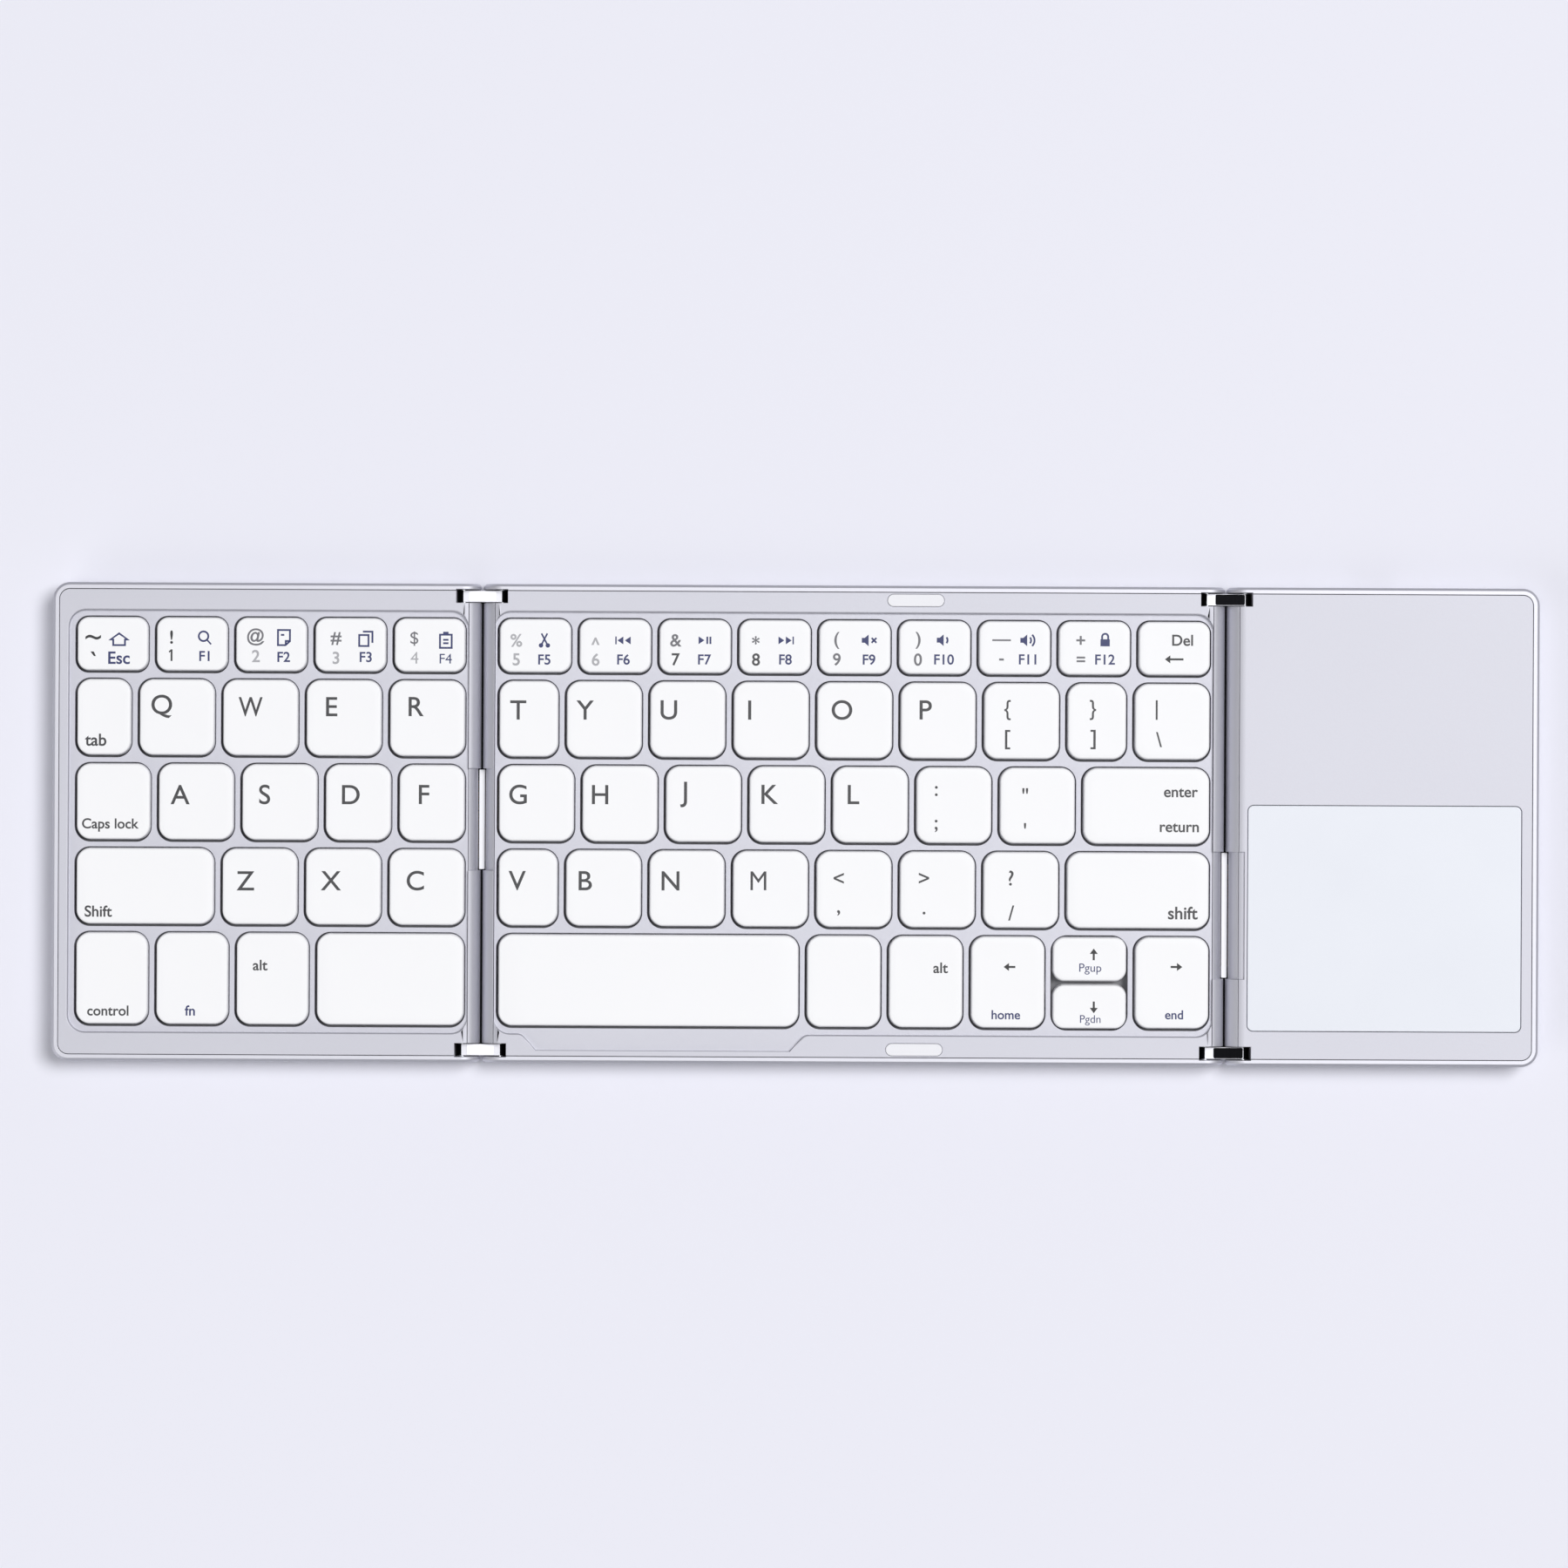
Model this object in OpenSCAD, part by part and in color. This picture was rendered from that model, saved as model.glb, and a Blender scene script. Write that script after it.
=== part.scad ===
/* [Panels] */
// Width of the left panel, from its outer edge to the middle of its hinge
left_w = 87.85; // [84:0.05:96]
// Width of the right panel, from the middle of its hinge to its outer edge
right_w = 64.1; // [62:0.05:72]
// Gap between the two outer panels when both lie folded on the middle one
fold_seam = 0.6; // [0.4:0.1:1.5]
// Depth of the panels, from front to rear
depth = 98; // [94:0.5:104]
// Thickness of a panel without its feet
panel_t = 7.4; // [7.2:0.1:8.2]
// Radius of the outer corners, seen from above
corner_r = 3.5; // [2.5:0.1:6]
// Bevel along the top and bottom edges
edge_bevel = 0.5; // [0.3:0.1:0.8]

/* [Cases and decks] */
// Width of the case's rim that shows round the deck
rim_w = 1.3; // [1:0.1:1.8]
// Thickness of the case's side walls below the deck
wall_t = 2.3; // [2:0.1:3]
// Thickness of the case's floor
floor_t = 1; // [0.8:0.1:1.2]
// Thickness of the deck plate
deck_t = 2.1; // [1.9:0.1:2.3]
// Depth of the recess that holds the keys
recess_d = 1.1; // [0.8:0.1:1.2]
// Margin of the recess round the key field
recess_margin = 1.4; // [0.8:0.1:1.6]
// Corner radius of the recess
recess_r = 3.5; // [2.5:0.1:4.5]
// Gap between a deck and the rim round it
deck_gap = 0.1; // [0.05:0.05:0.2]
// Height of the ribs on the case floor
rib_h = 1.2; // [1:0.1:1.3]
// Width of the ribs
rib_w = 1.5; // [1:0.1:2.5]
// Distance of the outer ribs below the keys from the middle one
rib_pitch = 29.4; // [24:0.1:32]
// Distance of the main board's ribs from its edge and its socket
rib_inset = 3; // [2:0.1:5]

/* [Thumb hollow] */
// How far the recess widens towards the front, below the space bar
thumb_d = 3.4; // [2:0.1:3.6]
// Radius that rounds the deck's corners at the ends of the hollow
thumb_r = 2; // [1:0.1:2.5]
// Length of the thumb hollow along its front edge
thumb_w = 52; // [30:1:60]
// Length of its slanted ends
thumb_slant = 3; // [1:0.5:6]
// Distance of the hollow's near end from the middle of the left hinge
thumb_x = 11.4; // [8:0.1:20]

/* [Keys] */
// Depth of the keys in the top row
top_row_d = 11.2; // [10:0.1:12]
// Depth of the keys in the bottom row
bottom_row_d = 19; // [17:0.1:21]
// Width of the tab key
tab_w = 11.3; // [10:0.1:13]
// Width of the caps lock key
caps_lock_w = 15.3; // [14:0.1:18]
// Width of the left shift key
left_shift_w = 28.4; // [26:0.1:31]
// Width of the D and F keys
narrow_w = 13.6; // [13:0.1:14.2]
// Width of the T and V keys, next to the left hinge
edge_key_w = 12.3; // [11.6:0.1:12.8]
// Width of the key with the closing bracket
bracket_w = 12.25; // [11.5:0.05:14]
// Width of the enter key
enter_w = 26.05; // [23:0.05:29]
// Width of the right shift key
right_shift_w = 29.35; // [26:0.05:32]
// Width of the control, fn and alt keys
control_w = 14.95; // [14:0.05:15.6]
// Width of the keys in the arrow group
arrow_w = 15.3; // [14.5:0.1:15.8]
// Gap between two keys
key_gap = 1.5; // [1.3:0.1:1.7]
// Gap between the up and down keys, which share one well
arrow_split = 0.5; // [0.4:0.1:0.9]
// Clearance between a key and its well
well_gap = 0.25; // [0.2:0.05:0.3]
// Distance of the key field from the rear edge
field_rear = 7.1; // [6.8:0.1:7.6]
// Distance of the key field from the front edge
field_front = 7.3; // [7:0.1:8]
// Distance of the key field from the left panel's outer edge
field_side = 4.75; // [4:0.05:6]
// Distance of the key fields from the middle of a hinge
field_hinge = 3.4; // [3.4:0.1:4.5]
// Height of a keycap
cap_h = 2.4; // [2.2:0.1:2.6]
// How far a keycap's top lies below the deck's top face
cap_drop = 0.2; // [0.1:0.05:0.4]
// Corner radius of a keycap
cap_r = 3; // [2:0.1:3.5]
// Corner radius of a keycap in the top row
top_cap_r = 2.5; // [1.5:0.1:3]
// Bevel round a keycap's top
cap_bevel = 0.4; // [0.2:0.1:0.6]
// Wall of a keycap's skirt
cap_wall = 0.9; // [0.7:0.1:1.2]
// Thickness of a keycap's top
cap_skin = 0.8; // [0.7:0.1:1]
// Radius of the stem under a keycap
stem_r = 1.6; // [1.2:0.1:1.8]
// How far a stem's end lies inside the keycap's skirt
stem_in = 0.25; // [0.1:0.05:0.4]
// Gap between a stem and the rubber dome below it
stem_gap = 0.1; // [0.05:0.05:0.3]

/* [Key switches] */
// Thickness of the switch membrane
membrane_t = 0.3; // [0.2:0.05:0.4]
// Thickness of the rubber dome sheet
dome_sheet_t = 0.3; // [0.2:0.05:0.4]
// Radius of a dome at its foot
dome_foot_r = 2.8; // [2.2:0.1:3.2]
// Radius of a dome at its top
dome_top_r = 1.5; // [1.2:0.1:1.8]
// Wall of a dome
dome_wall = 0.4; // [0.3:0.05:0.6]
// Gap between the inner sheets and the case walls
sheet_gap = 0.3; // [0.2:0.05:0.5]

/* [Hinges] */
// Gap between the two spines of a hinge, and between the top faces of folded panels
spine_gap = 0.4; // [0.3:0.02:0.6]
// Distance of the deck's seam from the middle of the hinge
seam_x = 2.6; // [2.3:0.05:2.7]
// Distance of an end link from the front or rear edge
link_in = 1.3; // [1.2:0.05:1.6]
// Width of an end link
link_w = 2.4; // [2:0.1:2.8]
// Radius of an end link's eyes
eye_r = 1.2; // [1.1:0.05:1.3]
// Clearance of an end link in its slots
link_gap = 0.2; // [0.1:0.05:0.3]
// Wall between an end link's slot and the inside of the case
slot_wall = 3.7; // [2.5:0.1:5]
// Radius of the hinge pins
pin_r = 0.8; // [0.6:0.05:0.85]
// Running clearance of a pin in the spines
pin_gap = 0.05; // [0.02:0.01:0.08]
// Clearance of a pin in the eye that holds it
eye_gap = 0.02; // [0.01:0.01:0.04]
// Length of pin that reaches into the spine behind an end link
pin_reach = 1.9; // [1.2:0.1:2.5]
// How far the pins' ends lie below the front and rear faces
pin_sink = 0.1; // [0.05:0.05:0.3]
// Clearance between the hinge beam and the spines that roll on it
beam_gap = 0.15; // [0.1:0.05:0.25]
// Height of the beam's upper edge below the pivots
beam_top = 1.4; // [1.3:0.1:1.8]
// Height of the beam's lower edge below the pivots
beam_low = 3.5; // [3.2:0.05:3.6]
// Thickness of the cable guard
guard_t = 1.2; // [0.8:0.1:1.3]
// Height of the guard's upper edge below the pivots
guard_top = 0.4; // [0.3:0.1:0.9]
// Depth of the beam's notch for the guard, below the pivots
guard_foot = 2.2; // [2:0.1:2.6]
// How far the spines are cut back where they pass the guard
guard_relief = 0.6; // [0.5:0.05:0.7]
// Length of the left cable guard
left_guard_l = 20.5; // [14:0.5:30]
// Place of the left cable guard's middle, measured from the keyboard's middle to the rear
left_guard_y = 0.75; // [-10:0.25:10]
// Length of the right cable guard
right_guard_l = 25.7; // [14:0.1:32]
// Place of the right cable guard's middle, measured from the keyboard's middle to the rear
right_guard_y = -18.25; // [-24:0.25:10]
// Thickness of the flat cable
flex_t = 0.15; // [0.1:0.01:0.2]
// How far the flat cable reaches from the middle of a hinge
flex_reach = 6; // [5:0.5:8]
// How far the cable's edges lie inside the guard's ends
flex_in = 2.3; // [1.8:0.1:4]
// Clearance round the cable where it passes a wall
flex_gap = 0.1; // [0.08:0.01:0.12]

/* [Touchpad] */
// Distance of the touchpad from the middle of the hinge
pad_hinge = 4.5; // [4.3:0.1:10]
// Depth of the touchpad
pad_d = 46.2; // [36:0.1:48]
// Distance of the touchpad from the right panel's outer edge
pad_side = 3.6; // [3.2:0.1:4.5]
// Distance of the touchpad from the front edge
pad_front = 7.15; // [6.8:0.05:8]
// Corner radius of the touchpad
pad_r = 1.2; // [0.5:0.1:4]
// How far the touchpad lies below the deck's top face
pad_drop = 0.1; // [0.05:0.05:0.4]
// Gap between the touchpad and its window
pad_gap = 0.1; // [0.05:0.05:0.3]
// How far the touchpad's board reaches under the deck
pad_lip = 1.1; // [0.6:0.1:1.1]
// Thickness of the touchpad's board
pad_board_t = 0.9; // [0.6:0.1:1]

/* [Electronics] */
// Width of the battery
battery_w = 46; // [30:1:52]
// Depth of the battery
battery_d = 38; // [28:1:40]
// Thickness of the battery
battery_t = 3.2; // [2:0.1:3.3]
// Corner radius of the battery's edges
battery_r = 2; // [1:0.5:4]
// Width of the main board
board_w = 46; // [36:1:50]
// Depth of the main board
board_d = 30; // [20:1:34]
// Thickness of the main board
board_t = 0.8; // [0.6:0.1:1]
// Distance of the main board from the rear edge
board_rear = 3; // [2.6:0.1:4]
// Width of the charging socket
socket_w = 8.9; // [8.5:0.1:9.2]
// Height of the charging socket
socket_h = 3.2; // [2.8:0.1:3.2]
// Length of the charging socket
socket_l = 7.3; // [6:0.1:8]
// Wall of the charging socket
socket_wall = 0.35; // [0.25:0.05:0.45]
// Width of the tongue in the charging socket
tongue_w = 6.2; // [5:0.1:7]
// Thickness of the tongue
tongue_t = 0.7; // [0.5:0.1:1]
// How far the tongue's end lies inside the socket's mouth
tongue_in = 1; // [0.5:0.1:2]
// Width of a chip on the main board
chip_w = 6; // [4:0.5:8]
// Thickness of a chip
chip_t = 0.9; // [0.6:0.1:1.2]
// Distance of the chips from the board's edges
chip_in = 5; // [2:0.5:8]
// Corner radius of the main board
board_r = 1; // [0.5:0.5:2]
// Place of the charging socket, from the middle of the right hinge
socket_x = 31.85; // [20:0.05:42]
// Gap round the socket in the rear wall
socket_gap = 0.15; // [0.1:0.05:0.3]
// Length of a magnet
magnet_l = 6; // [4:0.5:8]
// Width of a magnet
magnet_w = 2.5; // [2:0.1:2.8]
// Thickness of a magnet
magnet_t = 1.3; // [0.8:0.1:1.4]
// Distance of the magnets from an outer panel's free edge
magnet_side = 10; // [9.6:0.1:14]
// Distance of the magnets' middle from the front or rear edge
magnet_edge = 3.4; // [3.2:0.1:3.5]

/* [Bumpers and feet] */
// Length of a bumper
bumper_l = 11.6; // [8:0.1:12]
// Width of a bumper
bumper_w = 2.5; // [1.8:0.1:2.8]
// Gap between the bumpers and the panels folded over them
bumper_clear = 0.1; // [0.05:0.01:0.2]
// Clearance of the bumpers, feet and magnets in their seats
seat_gap = 0.05; // [0.02:0.01:0.1]
// How deep a bumper sits in the deck
bumper_seat = 0.5; // [0.3:0.1:0.7]
// Distance of a bumper's middle from the front or rear edge
bumper_edge = 3; // [2.9:0.05:3.3]
// How far the bumpers lie to the right of the folded seam
bumper_shift = 0.7; // [0:0.1:1]
// How far the feet stand below the case
foot_rise = 0.4; // [0.3:0.05:0.8]
// How deep a foot sits in the case floor
foot_seat = 0.4; // [0.2:0.05:0.5]
// Length of a foot
foot_l = 18; // [10:1:24]
// Width of a foot
foot_w = 5; // [3:0.5:7]
// Distance of a foot's middle from the front or rear edge
foot_edge = 8; // [7:0.5:12]
// Distance of a foot's end from the side edge or hinge
foot_side = 10; // [8:0.5:16]

/* [Hidden] */
$fn = 48;
// Overshoot of cutting shapes
cut = 1;
// Overlap of shapes that are fused into one solid
weld = 0.1;
// Width of all three panels: the two outer ones fold side by side onto the middle one
mid_w = left_w + right_w + fold_seam;
total_w = left_w + mid_w + right_w;
left_hinge_x = left_w - total_w / 2;
right_hinge_x = total_w / 2 - right_w;
half_d = depth / 2;
// Heights, from the floor under the feet
case_z = foot_rise;
top_z = case_z + panel_t;
pivot_z = case_z + panel_t / 2;
floor_z = case_z + floor_t;
ledge_z = top_z - deck_t;
recess_z = top_z - recess_d;
membrane_z = floor_z + rib_h;
dome_z = membrane_z + membrane_t;
dome_sheet_top = dome_z + dome_sheet_t;
cap_top = top_z - cap_drop;
cap_z = cap_top - cap_h;
stem_z = cap_z + stem_in;
// Spines and the space that the links swing in
spine_r = panel_t / 2;
pivot_x = spine_r + spine_gap / 2;
bumper_rise = spine_gap - bumper_clear;
slot_r = eye_r + link_gap;
slot_depth = link_w + 2 * link_gap;
beam_r = spine_r + beam_gap;
link_y = half_d - link_in - link_w;
pin_y = link_y - pin_reach;
block_y = pin_y - link_gap;
block_x = pivot_x + slot_r + slot_wall;
cavity_x = field_hinge - well_gap;
// Seam between the folded outer panels, on the middle panel
seam_mid_x = left_hinge_x + left_w + fold_seam / 2;
// Key field
field_y = half_d - field_rear;
recess_y0 = field_front - recess_margin - half_d;
recess_y1 = half_d - field_rear + recess_margin;
letter_rows = 3;
letter_d = (depth - field_rear - field_front - top_row_d - bottom_row_d
    - (letter_rows + 1) * key_gap) / letter_rows;
row_d = [top_row_d, letter_d, letter_d, letter_d, bottom_row_d];
left_field = [field_side - total_w / 2, left_hinge_x - field_hinge];
mid_field = [left_hinge_x + field_hinge, right_hinge_x - field_hinge];
// Touchpad
pad_x1 = total_w / 2 - pad_side;
pad_x0 = right_hinge_x + pad_hinge;
pad_mid_x = (pad_x0 + pad_x1) / 2;
pad_y0 = pad_front - half_d;
pad_y1 = pad_y0 + pad_d;
pad_board_z = ledge_z - pad_board_t;
// Flat cable, just under the membranes and the board
flex_z = membrane_z - flex_t;
// Main board and charging socket, at the rear of the right panel
board_y1 = half_d - board_rear;
board_y0 = board_y1 - board_d;
socket_y1 = half_d - edge_bevel;
socket_y0 = socket_y1 - socket_l;
// Places of the ribs along Y
key_ribs = [-rib_pitch, 0, rib_pitch];
board_ribs = [board_y0 + rib_inset, socket_y0 - rib_inset];
bumper_x = seam_mid_x + bumper_shift;
bumper_y = half_d - bumper_edge;
magnet_y = half_d - magnet_edge;

aluminium = [0.80, 0.80, 0.84];
key_white = [0.97, 0.97, 0.98];
chrome = [0.88, 0.89, 0.91];
rubber = [0.90, 0.90, 0.92];
dark_rubber = [0.35, 0.35, 0.37];
board_green = [0.12, 0.35, 0.22];

// Each row is a list of [width, node] columns. The keys with a width of 0 share what is left of
// the row, as the letter keys do.
// A column with two nodes is a pair of keys, one behind the other.
function run(node_name, widths) = [for (w = widths) [w, node_name]];
left_rows = [
    concat([[0, "key_esc"]], run("keys_1_to_4", [0, 0, 0, 0])),
    concat([[tab_w, "key_tab"]], run("keys_q_to_r", [0, 0, 0, 0])),
    concat([[caps_lock_w, "key_caps_lock"]], run("keys_a_to_f", [0, 0, narrow_w, narrow_w])),
    concat([[left_shift_w, "key_left_shift"]], run("keys_z_to_c", [0, 0, 0])),
    [[control_w, "key_control"], [control_w, "key_fn"], [control_w, "key_left_alt"],
     [0, "key_left_space"]]
];
mid_rows = [
    concat(run("keys_5_to_8", [0, 0, 0, 0]), run("keys_9_to_equals", [0, 0, 0, 0]),
           [[0, "key_del"]]),
    concat(run("keys_t_to_o", [edge_key_w, 0, 0, 0, 0]),
           run("keys_p_to_backslash", [0, 0, bracket_w, 0])),
    concat(run("keys_g_to_quote", [0, 0, 0, 0, 0, 0, 0]), [[enter_w, "key_enter"]]),
    concat(run("keys_v_to_slash", [edge_key_w, 0, 0, 0, 0, 0, 0]),
           [[right_shift_w, "key_right_shift"]]),
    [[0, "key_right_space"], [arrow_w, "key_option"], [arrow_w, "key_right_alt"],
     [arrow_w, "key_left_arrow"], [arrow_w, "key_up_arrow", "key_down_arrow"],
     [arrow_w, "key_right_arrow"]]
];

function sum(v, n) = n <= 0 ? 0 : v[n - 1] + sum(v, n - 1);
function wide(row, field) =
    let (given = [for (c = row) c[0]],
         open = len([for (g = given) if (g == 0) g]),
         rest = field[1] - field[0] - (len(row) - 1) * key_gap - sum(given, len(given)))
    [for (g = given) g > 0 ? g : rest / open];
function row_y(i) = field_y - sum(row_d, i) - i * key_gap;
// Every well of a panel, as [left, right, front, rear, corner radius, nodes]
function wells(rows, field) = [
    for (i = [0:len(rows) - 1])
    let (ws = wide(rows[i], field))
    for (j = [0:len(ws) - 1])
    let (x = field[0] + sum(ws, j) + j * key_gap)
    [x, x + ws[j], row_y(i) - row_d[i], row_y(i), i == 0 ? top_cap_r : cap_r,
     [for (k = [1:len(rows[i][j]) - 1]) rows[i][j][k]]]
];
// The keys of one well, as [left, right, front, rear, corner radius, node]
function well_keys(c) =
    let (n = len(c[5]), d = (c[3] - c[2] - (n - 1) * arrow_split) / n)
    [for (k = [0:n - 1])
     let (rear = c[3] - k * (d + arrow_split))
     [c[0], c[1], rear - d, rear, c[4], c[5][k]]];
left_wells = wells(left_rows, left_field);
mid_wells = wells(mid_rows, mid_field);
function all_keys(well_list) = [for (c = well_list) for (k = well_keys(c)) k];

// Puts a shape drawn for the right side of a hinge, with the hinge's middle at x = 0, in its place
module right_of(x) { translate([x, 0, 0]) children(); }
module left_of(x) { translate([x, 0, 0]) mirror([1, 0, 0]) children(); }
module front_and_rear() {
    children();
    mirror([0, 1, 0]) children();
}

// Flat plate with round corners
module rounded(x0, x1, y0, y1, r) {
    w = x1 - x0;
    d = y1 - y0;
    translate([(x0 + x1) / 2, (y0 + y1) / 2]) {
        square([w - 2 * r, d], center = true);
        square([w, d - 2 * r], center = true);
        for (x = [r - w / 2, w / 2 - r]) for (y = [r - d / 2, d / 2 - r])
            translate([x, y]) circle(r);
    }
}
module plate(x0, x1, y0, y1, z0, z1, r) {
    translate([0, 0, z0]) linear_extrude(z1 - z0) rounded(x0, x1, y0, y1, r);
}
module box(x0, x1, y0, y1, z0, z1) {
    translate([x0, y0, z0]) cube([x1 - x0, y1 - y0, z1 - z0]);
}
// Profile drawn in X and Z, drawn out along Y
module along_y(y0, y1) {
    translate([0, y1, 0]) rotate([90, 0, 0]) linear_extrude(y1 - y0) children();
}
// Outline with half-round ends, grown by a gap
module pill(l, w, gap) {
    r = w / 2 + gap;
    half = (l - w) / 2;
    translate([-half, -r]) square([2 * half, 2 * r]);
    for (s = [-1, 1]) translate([s * half, 0]) circle(r);
}
// Round bar along Y
module bar_y(x, y0, y1, z, r) {
    translate([x, y0, z]) rotate([-90, 0, 0]) cylinder(r = r, h = y1 - y0);
}
// Block whose front and rear edges are bevelled, and whose sides are square
module bevelled_block(x0, x1) {
    b = edge_bevel;
    h = half_d;
    translate([x0, 0, 0]) rotate([90, 0, 90]) linear_extrude(x1 - x0)
        polygon([[-h, case_z + b], [b - h, case_z], [h - b, case_z], [h, case_z + b],
                 [h, top_z - b], [h - b, top_z], [b - h, top_z], [-h, top_z - b]]);
}
// Round solid with bevelled rims
module bevelled_disc(r, h) {
    b = edge_bevel;
    rotate_extrude() polygon([[0, 0], [r - b, 0], [r, b], [r, h - b], [r - b, h], [0, h]]);
}
// Outer form of one hinge edge: a half-round spine, whose ends carry on the bevels
module spine() {
    translate([pivot_x, half_d, pivot_z]) rotate([90, 0, 0]) bevelled_disc(spine_r, depth);
}

// Outer form of an outer panel, with its hinge at x = 0
module outer_panel_form(w) {
    b = edge_bevel;
    r = corner_r;
    spine();
    bevelled_block(pivot_x, w - r);
    along_y(r - half_d, half_d - r)
        polygon([[w - 2 * r, case_z], [w - b, case_z], [w, case_z + b], [w, top_z - b],
                 [w - b, top_z], [w - 2 * r, top_z]]);
    front_and_rear() translate([w - r, half_d - r, case_z]) bevelled_disc(r, panel_t);
}
// Outer form of the middle panel
module middle_panel_form() {
    bevelled_block(left_hinge_x + pivot_x, right_hinge_x - pivot_x);
    right_of(left_hinge_x) spine();
    left_of(right_hinge_x) spine();
}

// Slots that the end links swing in, the pin bores, and the way past the cable guard
module hinge_cuts(guard_y, guard_l) {
    y0 = link_y - link_gap;
    y1 = y0 + slot_depth;
    front_and_rear() {
        bar_y(pivot_x, y0, y1, pivot_z, slot_r);
        box(-cut, pivot_x, y0, y1, pivot_z - slot_r, top_z + cut);
        box(-cut, pivot_x + slot_r, y0, y1, pivot_z, top_z + cut);
        bar_y(pivot_x, pin_y - pin_sink, half_d + cut, pivot_z, pin_r + pin_gap);
    }
    reach = guard_l / 2 + link_gap;
    difference() {
        box(-cut, pivot_x, guard_y - reach, guard_y + reach, pivot_z - guard_foot - link_gap,
            top_z + cut);
        bar_y(pivot_x, guard_y - reach - cut, guard_y + reach + cut, pivot_z,
              spine_r - guard_relief);
    }
    slit = guard_l / 2 - flex_in + flex_gap;
    box(-cut, block_x, guard_y - slit, guard_y + slit, flex_z - flex_gap,
        flex_z + flex_t + flex_gap);
}
module left_hinge_cuts() { hinge_cuts(left_guard_y, left_guard_l); }
module right_hinge_cuts() { hinge_cuts(right_guard_y, right_guard_l); }

// Space inside a case, from a hinge at x = 0: narrower next to the hinge, where the pins are held
module cavity_outline(x0, x1) {
    translate([x0, -block_y]) square([x1 - x0, 2 * block_y]);
    translate([block_x, wall_t - half_d]) square([x1 - block_x, depth - 2 * wall_t]);
}
// Ribs on the case floor, which carry the membrane or the main board
module ribs(x0, x1, places) {
    for (y = places)
        box(x0, x1, y - rib_w / 2, y + rib_w / 2, floor_z - weld, membrane_z);
}
// Outline of an outer panel's deck, with its hinge at x = 0: its corners are square at the seam
// beside the hinge
module deck_outline(w, gap) {
    r = corner_r - rim_w - gap;
    h = half_d - rim_w - gap;
    x0 = seam_x + gap;
    rounded(x0, w - rim_w - gap, -h, h, r);
    translate([x0, -h]) square([2 * r, 2 * h]);
}

module foot_places(x0, x1) {
    for (x = [x0 + foot_l / 2, x1 - foot_l / 2])
        front_and_rear() translate([x, half_d - foot_edge, 0]) children();
}
module foot_form(gap) {
    linear_extrude(foot_rise + foot_seat) pill(foot_l, foot_w, gap);
}
module outer_feet(w, gap) { foot_places(foot_side, w - foot_side) foot_form(gap); }
module middle_feet(gap) {
    foot_places(left_hinge_x + foot_side, right_hinge_x - foot_side) foot_form(gap);
}

// Case of an outer panel, with its hinge at x = 0 and its ribs at the given places along Y
module outer_case(w, rib_places) {
    difference() {
        outer_panel_form(w);
        translate([0, 0, ledge_z]) linear_extrude(deck_t + cut) deck_outline(w, 0);
        translate([0, 0, floor_z]) linear_extrude(panel_t) cavity_outline(cavity_x, w - wall_t);
        outer_feet(w, seat_gap);
        children();
    }
    ribs(block_x, w - wall_t, rib_places);
}

module left_case() {
    color(aluminium) left_of(left_hinge_x) outer_case(left_w, key_ribs) left_hinge_cuts();
}
module right_case() {
    color(aluminium) right_of(right_hinge_x) outer_case(right_w, board_ribs) {
        right_hinge_cuts();
        socket_hole();
    }
}
module mid_case() {
    h = half_d - rim_w;
    color(aluminium) {
        difference() {
            middle_panel_form();
            box(left_hinge_x + seam_x, right_hinge_x - seam_x, -h, h, ledge_z, top_z + cut);
            translate([0, 0, floor_z]) linear_extrude(panel_t) {
                right_of(left_hinge_x) cavity_outline(cavity_x, mid_w / 2);
                left_of(right_hinge_x) cavity_outline(cavity_x, mid_w / 2);
            }
            right_of(left_hinge_x) left_hinge_cuts();
            left_of(right_hinge_x) right_hinge_cuts();
            middle_feet(seat_gap);
        }
        ribs(left_hinge_x + block_x, right_hinge_x - block_x, key_ribs);
    }
}

// Deck of an outer panel before its wells or window are cut, with its hinge at x = 0
module outer_deck_blank(w) {
    intersection() {
        outer_panel_form(w);
        translate([0, 0, ledge_z]) linear_extrude(deck_t) deck_outline(w, deck_gap);
    }
}
// Recess round the keys, open upwards
module key_recess(x0, x1) {
    plate(x0, x1, recess_y0, recess_y1, recess_z, top_z + cut, recess_r);
}
// Through wells for the keys
module well_cuts(well_list) {
    for (c = well_list)
        plate(c[0] - well_gap, c[1] + well_gap, c[2] - well_gap, c[3] + well_gap,
              ledge_z - cut, top_z + cut, c[4] + well_gap);
}
// Pockets for the magnets in the underside of a deck, and the magnets themselves
module magnet_pair(x, gap) {
    front_and_rear()
        box(x - magnet_l / 2 - gap, x + magnet_l / 2 + gap, magnet_y - magnet_w / 2 - gap,
            magnet_y + magnet_w / 2 + gap, ledge_z, ledge_z + magnet_t);
}

module left_deck() {
    color(aluminium) difference() {
        left_of(left_hinge_x) outer_deck_blank(left_w);
        key_recess(left_field[0] - recess_margin, left_hinge_x - seam_x);
        well_cuts(left_wells);
        left_of(left_hinge_x) left_hinge_cuts();
        magnet_pair(magnet_side - total_w / 2, seat_gap);
    }
}
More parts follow.
